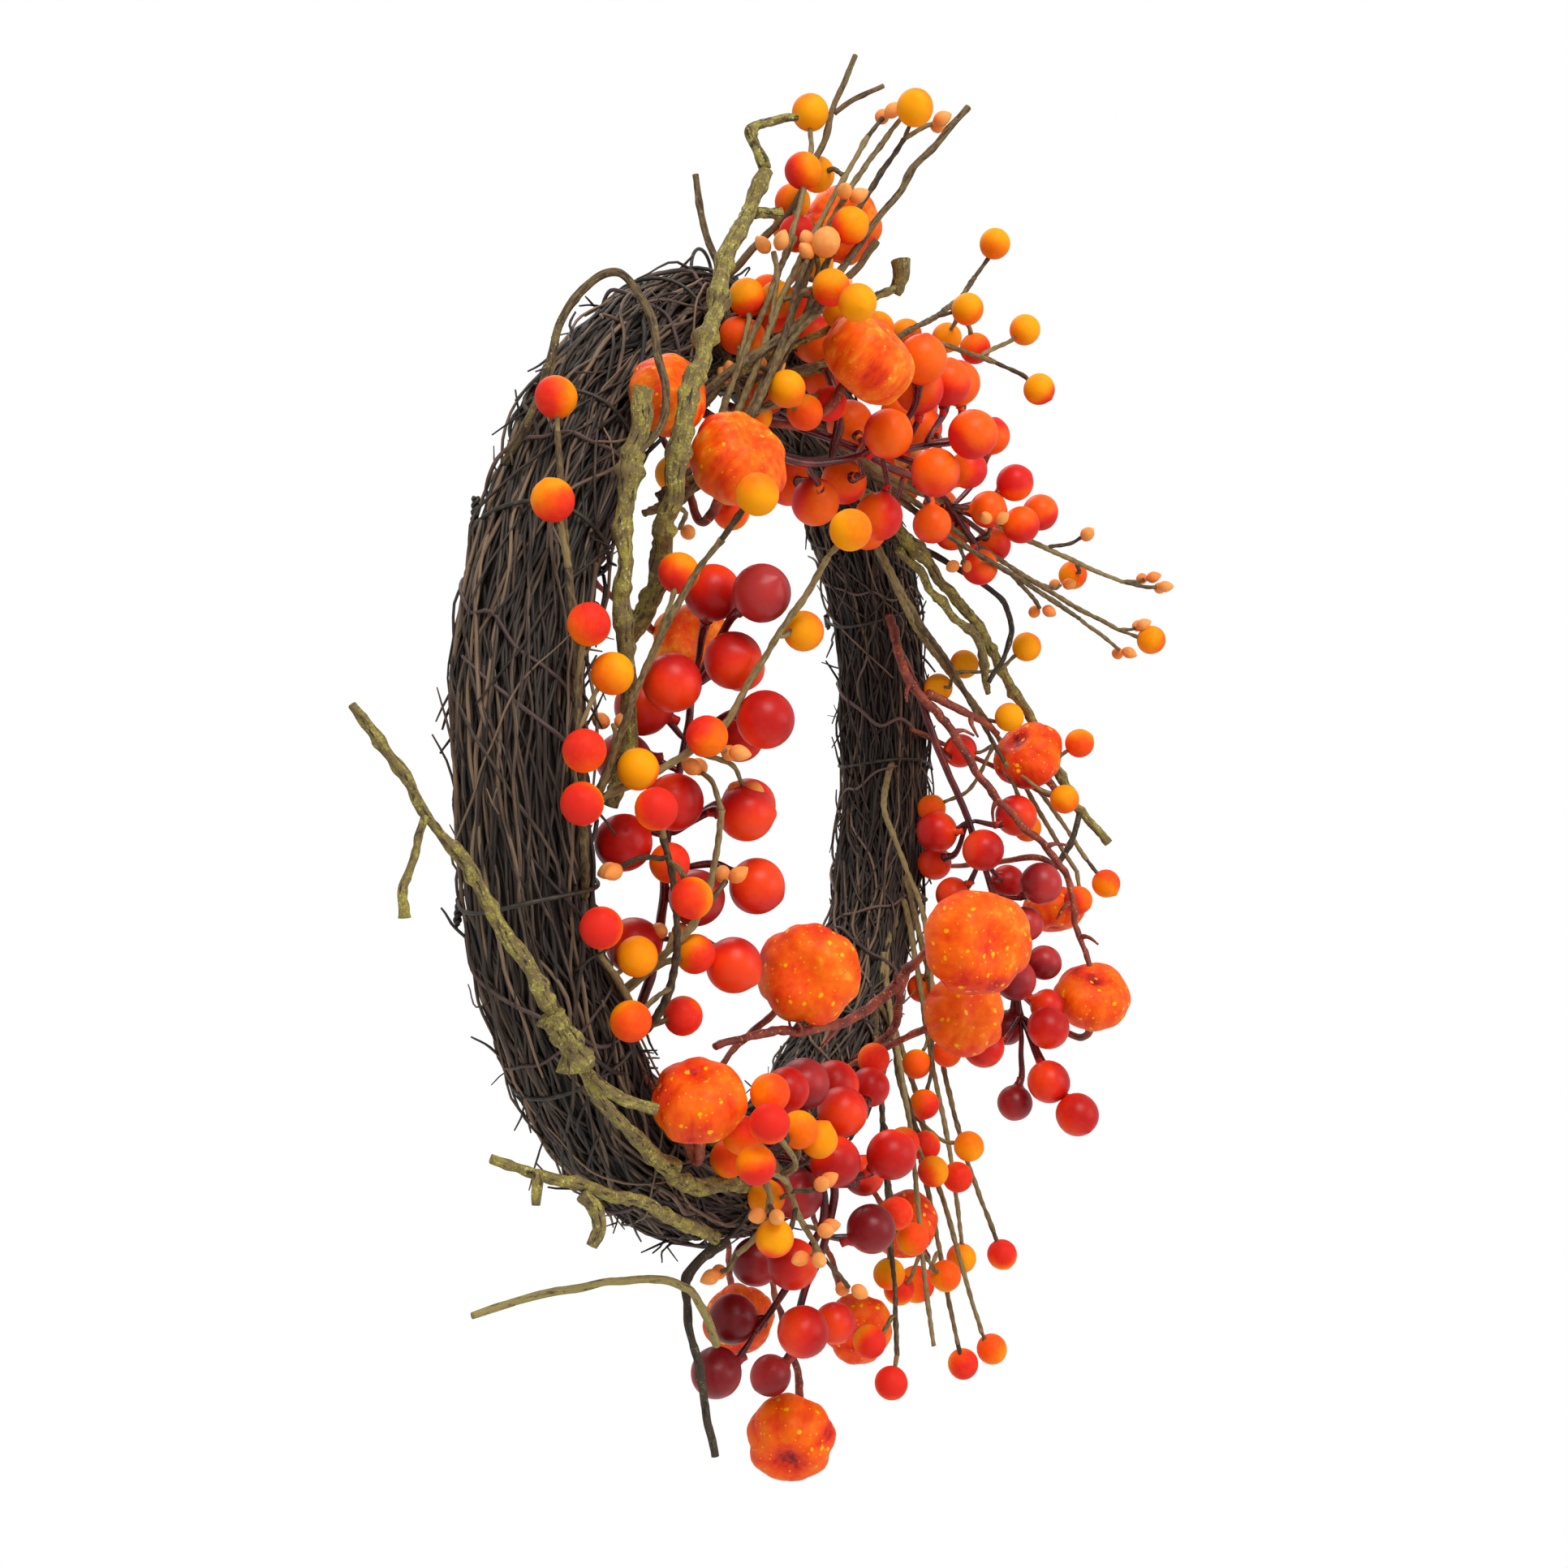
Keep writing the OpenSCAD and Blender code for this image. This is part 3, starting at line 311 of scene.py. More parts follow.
class Finish:
    """A material. Each call adds one node and returns its output."""

    def __init__(self, name, **values):
        self.material = bpy.data.materials.new(name)
        self.material.use_nodes = True
        self.tree = self.material.node_tree
        self.surface = self.tree.nodes["Principled BSDF"]
        for key, value in values.items():
            self.surface.inputs[key.replace("_", " ")].default_value = value

    def node(self, kind, inputs, **settings):
        node = self.tree.nodes.new("ShaderNode" + kind)
        for key, value in settings.items():
            setattr(node, key, value)
        for key, value in inputs.items():
            if isinstance(value, bpy.types.NodeSocket):
                self.tree.links.new(value, node.inputs[key])
            else:
                node.inputs[key].default_value = value
        return node

    def number(self, name):
        """A number from the piece's points."""
        return self.node("Attribute", {}, attribute_name=name).outputs["Fac"]

    def place(self, name):
        """A place from the piece's points."""
        return self.node("Attribute", {}, attribute_name=name).outputs["Vector"]

    def stretched(self, place, shares):
        return self.node("VectorMath", {0: place, 1: shares}, operation="MULTIPLY").outputs["Vector"]

    def moved(self, place, by):
        return self.node("VectorMath", {0: place, 1: by}, operation="ADD").outputs["Vector"]

    def here(self):
        return self.node("TexCoord", {}).outputs["Object"]

    def speckle(self, place, size, detail=3, rough=0.5):
        """Noise from 0 to 1, with spots about size metres across."""
        inputs = {"Vector": place, "Scale": 1 / size, "Detail": detail, "Roughness": rough}
        return self.node("TexNoise", inputs).outputs["Fac"]

    def tint(self, place, size):
        """Three noises from 0 to 1, as a vector."""
        return self.node("TexNoise", {"Vector": place, "Scale": 1 / size}).outputs["Color"]

    def cells(self, place, size):
        """The distance from points strewn about size metres apart."""
        return self.node("TexVoronoi", {"Vector": place, "Scale": 1 / size}).outputs["Distance"]

    def sum(self, a, b, share=1.0):
        """a plus a share of b."""
        return self.node("Math", {0: b, 1: share, 2: a}, operation="MULTIPLY_ADD").outputs[0]

    def ramp(self, factor, *stops):
        node = self.node("ValToRGB", {"Fac": factor})
        marks = node.color_ramp.elements
        while len(marks) < len(stops):
            marks.new(0.5)
        for mark, (place, colour) in zip(marks, stops):
            mark.position = place
            mark.color = colour
        return node.outputs["Color"]

    def level(self, factor, low, high):
        """A number that goes from 0 at low to 1 at high."""
        node = self.node("MapRange", {"Value": factor, "From Min": low, "From Max": high})
        node.interpolation_type = "SMOOTHSTEP"
        return node.outputs["Result"]

    def blend(self, factor, a, b):
        """Colour a where the factor is 0, and b where it is 1."""
        node = self.node("Mix", {}, data_type="RGBA")
        for socket, value in ((node.inputs[0], factor), (node.inputs[6], a), (node.inputs[7], b)):
            if isinstance(value, bpy.types.NodeSocket):
                self.tree.links.new(value, socket)
            else:
                socket.default_value = value
        return node.outputs[2]

    def done(self, colour, height=None, depth=0, strength=0, rough=None):
        """The finished material. Its bumps are depth metres high where height is 1."""
        self.tree.links.new(colour, self.surface.inputs["Base Color"])
        if rough is not None:
            self.tree.links.new(rough, self.surface.inputs["Roughness"])
        if height is not None:
            bump = self.node("Bump", {"Height": height, "Distance": depth, "Strength": strength})
            self.tree.links.new(bump.outputs["Normal"], self.surface.inputs["Normal"])
        return self.material


def vine_finish(name, dark, middle, light):
    """Thin dry bark: each vine has its own tone, lowered on deeper vines as painted shade,
    with streaks along it and paler worn patches.
    """
    make = Finish(name, Roughness=0.62)
    grain = make.stretched(make.place("grain"), (1, 1, 0.12))
    streaks = make.speckle(grain, 0.0007)
    patches = make.speckle(make.stretched(make.place("grain"), (0.3, 0.3, 1)), 0.018, 2)
    tone = make.sum(make.sum(make.number("tone"), streaks, 0.8), patches, 0.3)
    colour = make.ramp(make.level(tone, 0.35, 1.5), (0, dark), (0.5, middle), (1, light))
    return make.done(colour, streaks, 0.0004, 0.8)


def bark_finish(name, wood, bark, moss, lichen, mossy):
    """Bark with ridges, patches of moss and pale flecks of lichen. mossy is how much of it is moss."""
    make = Finish(name, Roughness=0.9)
    grain = make.stretched(make.place("grain"), (1, 1, 0.2))
    ridges = make.speckle(grain, 0.001, 5, 0.7)
    patches = make.speckle(make.place("grain"), 0.0035, 6, 0.7)
    fine = make.speckle(make.here(), 0.0007, 3, 0.7)
    colour = make.ramp(make.sum(ridges, make.number("tone"), 0.15), (0.4, bark), (0.56, wood))
    growth = make.sum(make.sum(patches, make.sum(-0.5, fine), 0.6), make.sum(-0.5, ridges), 0.5)
    colour = make.blend(make.level(growth, 0.58 - mossy, 0.72 - mossy), colour, moss)
    colour = make.blend(make.level(make.sum(fine, make.sum(-0.5, patches), 0.6), 0.63, 0.72), colour, lichen)
    colour = make.blend(make.level(ridges, 0.46, 0.34), colour, bark)
    height = make.sum(ridges, fine, 0.6)
    return make.done(colour, height, 0.0007, 1)


def paper_finish():
    """Brown paper tape twisted round a wire: dark creases run round it in a spiral."""
    make = Finish("paper_tape", Roughness=0.8)
    grain = make.stretched(make.place("grain"), (1, 1, 0.35))
    creases = make.speckle(grain, 0.0008, 3, 0.6)
    patches = make.speckle(make.place("grain"), 0.009, 2)
    tone = make.sum(make.sum(make.sum(0, make.number("tone"), 0.6), creases, 1.2), patches, 0.5)
    colour = make.ramp(
        make.level(tone, 0.6, 1.6),
        (0, rgb(46, 33, 22)),
        (0.35, rgb(92, 72, 44)),
        (0.65, rgb(124, 102, 60)),
        (1, rgb(150, 130, 84)),
    )
    return make.done(colour, creases, 0.0005, 0.9)


def thorny_finish():
    """Rust-red moulded stem, dusted with orange flecks."""
    make = Finish("rust_stem", Roughness=0.55)
    patches = make.speckle(make.here(), 0.006, 3)
    fine = make.speckle(make.here(), 0.0009, 2)
    colour = make.ramp(patches, (0.3, rgb(84, 26, 18)), (0.52, rgb(132, 48, 28)), (0.72, rgb(168, 84, 50)))
    flecks = make.level(fine, 0.62, 0.7)
    colour = make.blend(flecks, colour, rgb(222, 128, 36))
    return make.done(colour, fine, 0.0004, 0.6)


def moulded_finish():
    """Semi-gloss maroon plastic, browner where it is worn."""
    make = Finish("maroon_stem", Roughness=0.35)
    patches = make.speckle(make.here(), 0.008, 3)
    fine = make.speckle(make.here(), 0.0012, 2)
    colour = make.ramp(patches, (0.3, rgb(54, 10, 12)), (0.55, rgb(98, 20, 18)), (0.75, rgb(140, 46, 28)))
    return make.done(colour, fine, 0.0002, 0.4, make.level(fine, -0.3, 2.2))


def berry_finish(name, stops, rough, coat):
    """Painted foam: the blush runs through the stops, with a fine mottle and skin."""
    make = Finish(name, Roughness=rough, Coat_Weight=coat, Coat_Roughness=0.3, Specular_IOR_Level=0.14)
    mottle = make.speckle(make.here(), 0.0016, 3)
    skin = make.speckle(make.here(), 0.0006, 2)
    blush = make.sum(make.number("blush"), make.sum(-0.5, mottle), 0.3)
    return make.done(make.ramp(blush, *stops), skin, 0.0001, 0.2)


def bud_finish():
    """Peach wax, redder at the foot."""
    make = Finish("peach_bud", Roughness=0.5, Specular_IOR_Level=0.2)
    mottle = make.speckle(make.here(), 0.0012, 2)
    blush = make.sum(make.number("blush"), make.sum(-0.5, mottle), 0.5)
    colour = make.ramp(
        blush,
        (0, rgb(250, 176, 98)),
        (0.45, rgb(244, 150, 72)),
        (0.8, rgb(232, 110, 50)),
        (1, rgb(190, 64, 38)),
    )
    return make.done(colour, mottle, 0.0002, 0.3)


def pumpkin_finish(name, streaks, flecks):
    """Orange paint: dry-brushed in streaks, red round the blossom dimple and redder in the creases between
    the lobes as painted shade, with yellow specks of two sizes. streaks is how strongly the brush shows, and
    flecks scales the specks."""
    make = Finish(name, Roughness=0.5, Specular_IOR_Level=0.18)
    place = make.here()
    wash = make.speckle(place, 0.008, 3)
    brushed = make.speckle(make.place("grain"), 0.0022, 4, 0.6)
    washed = make.sum(make.number("blush"), make.sum(-0.5, wash), 0.9)
    colour = make.ramp(
        make.sum(washed, make.sum(-0.5, brushed), streaks),
        (0.0, rgb(255, 156, 50)),
        (0.2, rgb(254, 114, 6)),
        (0.48, rgb(248, 82, 6)),
        (0.75, rgb(226, 48, 18)),
        (1, rgb(120, 16, 28)),
    )
    warped = make.moved(place, make.stretched(make.tint(place, 0.004), (0.002, 0.002, 0.002)))
    large = make.level(make.cells(warped, 0.0044), 0.2 * flecks, 0.13 * flecks)
    small = make.level(make.cells(make.moved(place, (0.3, 0.1, 0.2)), 0.0021), 0.17 * flecks, 0.1 * flecks)
    colour = make.blend(large, colour, rgb(255, 186, 10))
    colour = make.blend(small, colour, rgb(255, 172, 30))
    return make.done(colour, brushed, 0.0003, 0.4)


def wire_finish():
    """Dark enamelled wire, chipped here and there."""
    make = Finish("florist_wire", Roughness=0.5)
    chips = make.speckle(make.here(), 0.002, 3)
    colour = make.ramp(chips, (0.35, rgb(34, 30, 22)), (0.6, rgb(56, 50, 36)), (0.8, rgb(84, 78, 62)))
    return make.done(colour, chips, 0.0001, 0.4)


# ---- The ring ----

RING_LOW, RING_HIGH = (np.array(corner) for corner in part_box("twig_ring"))
MIDDLE = (RING_LOW + RING_HIGH) / 2
BUNDLE_R = (RING_HIGH - RING_LOW)[1] / 2
RING_R = (RING_HIGH - RING_LOW)[0] / 2 - BUNDLE_R
CORE_R = 13.2 * MM
INNER_VINES, OUTER_VINES, LOOSE_VINES, STRAYS = 190, 190, 45, 210


def on_ring(clock, turn, away):
    """Places at clock angles on the ring. turn is the angle round the bundle, from outwards to forwards, and
    away is the distance from the bundle's middle."""
    out = RING_R + away * np.cos(turn)
    return MIDDLE + np.stack([out * np.sin(clock), -away * np.sin(turn), out * np.cos(clock)], axis=-1)


def clocks(node):
    """The clock angle of each loop in a CAD node."""
    middles = [(points.min(0) + points.max(0)) / 2 - MIDDLE for points, _ in shells(node)]
    return [math.atan2(middle[0], middle[2]) for middle in middles]


def vine(piece, away, radius, sides, wander):
    """One long vine of the bundle, away from the bundle's middle, with its ends tapered and a little loose.
    wander is how much it strays from its neighbours. The deeper it lies, the darker it is: painted shade,
    standing for the shade inside the bundle."""
    span = rng.uniform(0.8, 2.8)
    count = max(5, round(span * RING_R / (13 * MM)))
    clock = rng.uniform(0, TURN) + np.linspace(0, span, count)
    drift = rng.normal(0, 0.9 * wander) * (clock - clock[0])
    bends = np.cumsum(rng.normal(0, 0.08 * wander, count)) + rng.normal(0, 0.035, count)
    turn = rng.uniform(0, TURN) + drift + bends
    lifts = away + rng.normal(0, 0.45 * MM, count) * wander
    lifts[[0, -1]] += np.minimum(rng.exponential(1.8 * MM, 2), 7 * MM)
    places = on_ring(clock, turn, lifts + 1.3 * MM * noise(on_ring(clock, turn, lifts), 30 * MM))
    radii = radius * rng.uniform(0.85, 1.15, count)
    radii[[0, -1]] *= 0.5
    line, wide = smooth(places, radii, 3.8 * MM)
    kinks = [noise(line + shift, 8 * MM) for shift in rng.uniform(0, 1, 3)]
    line = line + 0.6 * MM * np.stack(kinks, axis=-1)
    # Painted shade: vines deeper in the bundle get a lower tone, on top of each vine's own random tone.
    painted_lit_share = min(max((away - 12.5 * MM) / (4 * MM), 0), 1)
    wrap(piece, line, uneven(wide, sides, 0.04), tone=(0.1 + 0.9 * painted_lit_share) * rng.beta(1.3, 2.2))


def stray(piece, clock, turn, reach, radius):
    """A short loose twig that sticks out of the bundle, sometimes with a fork."""
    root = on_ring(clock, turn, BUNDLE_R - 2 * MM)
    out = unit(on_ring(clock, turn, BUNDLE_R) - root)
    way = unit(on_ring(clock + 0.1, turn, BUNDLE_R) - on_ring(clock, turn, BUNDLE_R))
    lean = rng.choice((-1, 1)) * rng.uniform(0.6, 2.6)
    tip = root + reach * unit(out + lean * way + rng.normal(0, 0.25, 3))
    bend = (root + tip) / 2 + 0.14 * reach * rng.normal(0, 1, 3)
    tone = rng.beta(1.5, 3)
    step, sides = 1.6 * MM, 6
    line, wide = smooth(np.array([root, bend, tip]), radius * np.array([1.1, 0.9, 0.6]), step)
    wrap(piece, wobble(line, 0.5 * MM, 4 * MM), uneven(wide, sides, 0.1), tone=tone)
    if rng.random() < 0.35:
        start = line[len(line) // 2]
        end = start + 0.4 * reach * unit(tip - bend + 0.5 * reach * rng.normal(0, 1, 3))
        fork = np.array([start, (start + end) / 2, end])
        line, wide = smooth(fork, radius * np.array([0.8, 0.7, 0.5]), step)
        wrap(piece, line, wide[:, None] * np.ones(sides), tone=tone)


def painted_shade_core(piece):
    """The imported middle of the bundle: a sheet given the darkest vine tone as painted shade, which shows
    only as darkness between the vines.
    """
    clock, turn = np.meshgrid(np.linspace(0, TURN, 181), around(24), indexing="ij")
    away = CORE_R + 0.8 * MM * noise(on_ring(clock, turn, 13 * MM), 9 * MM)
    rings = on_ring(clock, turn, away)
    grain = np.stack([away * np.cos(turn), away * np.sin(turn), clock * RING_R], axis=-1)
    # tone 0 gives the core the darkest vine colour: painted shade between the vines.
    piece.sleeve(rings, rings[0].mean(0), rings[-1].mean(0), tone=0, grain=grain)


def make_ring():
    finish = vine_finish("dark_vines", rgb(14, 11, 9), rgb(66, 52, 41), rgb(136, 109, 84))
    core = Piece()
    painted_shade_core(core)
    for _ in range(INNER_VINES):
        vine(core, rng.uniform(12.6, 14.4) * MM, rng.uniform(0.5, 0.75) * MM, 5, 1.2)
    core.finish("ring_inner_vines", finish, "ring_twigs", "twig_ring")
    for part in ("a", "b", "c"):
        outer = Piece()
        for _ in range(OUTER_VINES):
            away, radius = rng.uniform(14.0, 16.6) * MM, rng.uniform(0.4, 0.64) * MM
            vine(outer, away, radius, 6, rng.choice((0.8, 1.2, 2.2)))
        outer.finish("ring_outer_vines_" + part, finish, "ring_twigs")
    loose = Piece()
    for _ in range(LOOSE_VINES):
        vine(loose, rng.uniform(16.5, 17.8) * MM, rng.uniform(0.32, 0.55) * MM, 5, 3)
    for _ in range(STRAYS):
        clock, turn = rng.uniform(0, TURN), rng.uniform(0, TURN)
        stray(loose, clock, turn, rng.uniform(5, 17) * MM, rng.uniform(0.25, 0.5) * MM)
    loose.finish("ring_loose_twigs", finish, "ring_twigs")


def make_bindings():
    """Each binding is one turn of thin vine that crosses the bundle at a slant, with its ends out."""
    piece, count = Piece(), 22
    for clock in clocks("binding_vine"):
        turn = rng.uniform(0, TURN) + np.linspace(0, TURN * rng.uniform(1.1, 1.5), count)
        slant = rng.choice((-1, 1)) * rng.uniform(0.12, 0.4)
        clock_line = clock + np.linspace(-slant, slant, count) + rng.normal(0, 0.012, count)
        away = BUNDLE_R + 0.7 * MM + rng.normal(0, 0.35 * MM, count)
        away[[0, -1]] += rng.uniform(1, 7, 2) * MM
        radii = np.full(count, rng.uniform(0.45, 0.75) * MM)
        radii[[0, -1]] *= 0.6
        line, wide = smooth(on_ring(clock_line, turn, away), radii, 2.2 * MM)
        wrap(piece, line, uneven(wide, 8, 0.08), tone=rng.uniform(0.2, 0.9))
    finish = vine_finish("binding_bark", rgb(32, 22, 22), rgb(70, 52, 48), rgb(112, 86, 76))
    piece.finish("binding_vine_turns", finish, "dry_vine", "binding_vine")


def helix(start, end, turns, r, phase):
    """One strand of a twisted pair, from start to end."""
    way = unit(end - start)
    side = unit(np.cross(way, (0.2, 1, 0.1)))
    share = np.linspace(0, 1, max(8, round(12 * turns)))
    angle = phase + TURN * turns * share
    ring = np.cos(angle)[:, None] * side + np.sin(angle)[:, None] * np.cross(way, side)
    return start + share[:, None] * (end - start) + r * ring


def wire(piece, line, r):
    wrap(piece, line, np.full((len(line), 8), r))


def make_wires():
    """Ties with twisted ends that hold the picks, and a hanger wrapped round the bundle, with its loop."""
    wire_r = (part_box("hanger_loop")[1].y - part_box("hanger_loop")[0].y) / 4
    finish = wire_finish()
    ties = Piece()
    for clock in clocks("tie_wires"):
        back = -TURN / 4 + rng.uniform(-0.5, 0.5)
        turn = back + np.linspace(0, TURN, 40)
        away = BUNDLE_R + 0.9 * MM + 0.3 * MM * np.sin(3 * turn)
        wire(ties, on_ring(clock + 0.012 * np.sin(2 * turn), turn, away), wire_r)
        start = on_ring(clock, back, BUNDLE_R + 1.2 * MM)
        end = on_ring(clock + rng.choice((-1, 1)) * 0.05, back + 0.25, BUNDLE_R + 2.4 * MM)
        for phase in (0, TURN / 2):
            wire(ties, helix(start, end, 2.5, wire_r, phase), wire_r)
    ties.finish("pick_ties", finish, "florist_wire", "tie_wires")
    hanger = Piece()
    for clock in clocks("hanger_wrap"):
        turn = np.linspace(0, TURN, 48)
        away = BUNDLE_R + 1.1 * MM + 0.2 * MM * np.sin(2 * turn + 40 * clock)
        wire(hanger, on_ring(clock + 0.01 * np.sin(turn), turn, away), wire_r)
    low, high = (np.array(corner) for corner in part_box("hanger_loop"))
    loop_r = (high - low)[0] / 2 - wire_r
    foot = np.array([0, (low[1] + high[1]) / 2, low[2] - 5 * MM])
    neck = np.array([0, foot[1], high[2] - 2 * loop_r - wire_r])
    angle = np.linspace(-0.35 * math.pi, 1.35 * math.pi, 40)
    middle = np.array([0, foot[1], high[2] - loop_r - wire_r])
    loop = middle + loop_r * np.stack([np.cos(angle), 0 * angle, np.sin(angle)], axis=-1)
    strands = [helix(foot, neck, 2, wire_r, phase) for phase in (0, TURN / 2)]
    path = np.vstack([strands[0], loop[1:-1], strands[1][::-1]])
    line, wide = smooth(path, np.full(len(path), wire_r), 0.5 * MM)
    wire(hanger, line, wire_r)
    hanger.finish("hanging_loop_wire", finish, "florist_wire", "hanger_wrap", "hanger_loop")


# ---- Twigs and stems ----


def bark(piece, line, radii, gnarl=1.0):
    """A knobbly twig: ridges along it, knots at uneven distances, and small kinks."""
    sides = 18
    line, wide = smooth(line, radii, 0.8 * MM)
    line = wobble(line, 1.1 * MM * gnarl**0.5, 9 * MM)
    along = travelled(line)
    turn = around(sides)
    skin = 1 + gnarl * (
        0.15 * grooves(wide, along, sides, 1.7 * MM, 6)
        + 0.12 * grooves(wide, along, sides, 1.1 * MM, 1.5)
        + 0.14 * noise(line + 0.2, 5 * MM)[:, None]
    )
    for knot in np.arange(rng.uniform(3, 8), along[-1] / MM, 1) * MM:
        if rng.random() < 0.08:
            rise = rng.uniform(0.15, 0.55) * gnarl
            near = np.exp(-(((along - knot) / (1.6 * MM)) ** 2))
            skin += rise * near[:, None] * (0.6 + 0.4 * np.cos(turn - rng.uniform(0, TURN)))
    wrap(piece, line, 0.8 * wide[:, None] * skin, 0.1, tone=rng.uniform(0, 1))


def make_twigs(finish, slot, nodes, gnarl):
    for node in nodes:
        piece = Piece()
        for line, radii in tubes(node):
            bark(piece, line, radii, gnarl * (1.7 if radii.max() > 4 * MM else 1))
        piece.finish(node + "_bark", finish, slot, node)


def paper_stem(piece, line, radii):
    """A wire stem in twisted paper tape."""
    sides = 10
    line, wide = smooth(line, radii, 0.9 * MM)
    line = wobble(line, 0.3 * MM, 9 * MM)
    along = travelled(line)
    pitch = 4.2 * MM
    twist = np.sin(2 * around(sides) + along[:, None] * TURN / pitch)
    lump = noise(line + 0.4, 4 * MM)[:, None]
    skin = 0.92 * (1 + 0.1 * twist + 0.16 * grooves(wide, along, sides, 1.3 * MM, 3) + 0.16 * lump)
    wrap(piece, line, wide[:, None] * skin, tone=rng.uniform(0, 1))


def moulded_stem(piece, line, radii):
    """A plastic stem that thickens where it joins another."""
    sides = 10
    line, wide = smooth(line, radii, 1 * MM)
    line = wobble(line, 0.35 * MM, 8 * MM)
    along = travelled(line)
    flare = 1 + 0.35 * np.exp(-(along[-1] - along) / (1.5 * MM))
    skin = flare[:, None] * (1 + 0.08 * grooves(wide, along, sides, 2 * MM, 2))
    wrap(piece, line, wide[:, None] * skin, tone=rng.uniform(0, 1))


def rust_stem(piece, line, radii):
    """A knobbly plastic stem. Its thorns end in a blunt bulb."""
    sides = 10
    line, wide = smooth(line, np.maximum(radii, 0.45 * MM), 0.8 * MM)
    line = wobble(line, 0.7 * MM, 6 * MM)
    along = travelled(line)
    skin = 1 + 0.2 * grooves(wide, along, sides, 1.5 * MM, 1.4)
    wrap(piece, line, wide[:, None] * skin, 0.4, tone=rng.uniform(0, 1))


def make_stems(finish, slot, build, nodes):
    """Side stems, which have fewer rings, are drawn out to the middle of the main stem that they leave."""
    for node in nodes:
        piece, found = Piece(), tubes(node)
        most = max(len(line) for line, _ in found)
        trunk = np.vstack([smooth(line, radii, 1 * MM)[0] for line, radii in found if len(line) == most])
        for line, radii in found:
            if len(line) < most:
                if length(trunk - line[-1]).min() < length(trunk - line[0]).min():
                    line, radii = line[::-1], radii[::-1]
                line = np.vstack([nearest(trunk, line[0]), line])
                radii = np.concatenate([radii[:1], radii])
            build(piece, line, radii)
        piece.finish(node + "_wrapped", finish, slot, node)


# ---- Berries, buds and mini pumpkins ----


def lathe(axis, start, heights, radii, sides):
    """Rings of points round an axis, at heights along it from start."""
    return start + heights[:, None, None] * axis + radii[:, None, None] * spokes(axis, sides)


# The side of a berry that the sun would redden
SUNNY = unit(np.array([-0.8, -0.5, 0.2]))


def berry(piece, centre, r, stem_end, neck, low, high, sunny):
    """A berry on its stem: a soft tip opposite the stem, a blush on one side, and a neck if it is moulded.
    low and high are the ends of its blush, and sunny is how strongly the high end keeps to the sunny side, or
    below 0 to the other side."""
    way = unit(centre - stem_end)
    sides, count = (32, 22) if neck else (26, 18)
    fall = np.linspace(0.42 if neck else 0.12, math.pi - 0.1, count)
    tip = 0.12 * r * rng.random() ** 2
    heights = -r * np.cos(fall) + tip * np.exp(-(((math.pi - fall) / 0.24) ** 2))
    radii = r * np.sin(fall)
    if neck:
        heights = np.concatenate([[-r - neck, -r - 0.55 * neck, -r - 0.2 * neck, -0.975 * r], heights])
        radii = np.concatenate([np.array([1.25, 1.3, 1.55, 2.1]) * MM, radii])
    rings = lathe(way, centre, heights, radii, sides)
    rings += (0.02 * r * noise(rings, 0.9 * r))[..., None] * unit(rings - centre)
    toward = unit(rng.normal(0, 1, 3) + sunny * SUNNY)
    facing = unit(rings - centre) @ toward + 0.35 * noise(rings, 0.8 * r)
    share = np.clip((facing + 0.7) / 1.4, 0, 1)
    share = share * share * (3 - 2 * share)
    blush = low + (high - low) * share
    piece.sleeve(rings, centre + (heights[0] - 0.1 * MM) * way, centre + (r + tip) * way, blush=blush)


def stem_ends(node):
    return np.array([end for line, _ in tubes(node) for end in (line[0], line[-1])])


def make_berries(finish, slot, node, stems, neck, kinds):
    """kinds are the blushes that the node's berries take, in turn from its lowest x to its highest."""
    piece, ends = Piece(), stem_ends(stems)
    for i, (centre, r) in enumerate(sorted(balls(node), key=lambda ball: ball[0][0])):
        low, high, sunny = kinds[i % len(kinds)]
        shift = rng.uniform(-0.08, 0.08)
        berry(piece, centre, r, nearest(ends, centre), neck, low + shift, high + shift, sunny)
    piece.finish(node + "_painted", finish, slot, node)


def make_buds(finish, node, stems):
    """Drop-shaped buds, each with its foot on the nearest stem."""
    piece, ends = Piece(), stem_ends(stems)
    for points, _ in shells(node):
        middle = (points.min(0) + points.max(0)) / 2
        far = points[length(points - nearest(ends, middle)).argmax()]
        base = points[length(points - far).argmax()]
        axis = unit(far - base)
        tall = length(far - base)
        wide = length(np.cross(points - base, axis)).max()
        sides, count = 14, 11
        share = np.linspace(0.05, 0.96, count)
        radii = wide * np.sin(math.pi * share**0.85) ** 0.7
        rings = lathe(axis, base, tall * share, radii, sides)
        rings += (0.03 * wide * noise(rings, 2 * MM))[..., None] * unit(rings - base - axis * tall / 2)
        blush = 0.1 + rng.uniform(0, 0.35) + 0.3 * (1 - share[:, None]) ** 2
        piece.sleeve(rings, base, far, blush=np.broadcast_to(blush, (count, sides)))
    piece.finish(node + "_painted", finish, "bud", node)


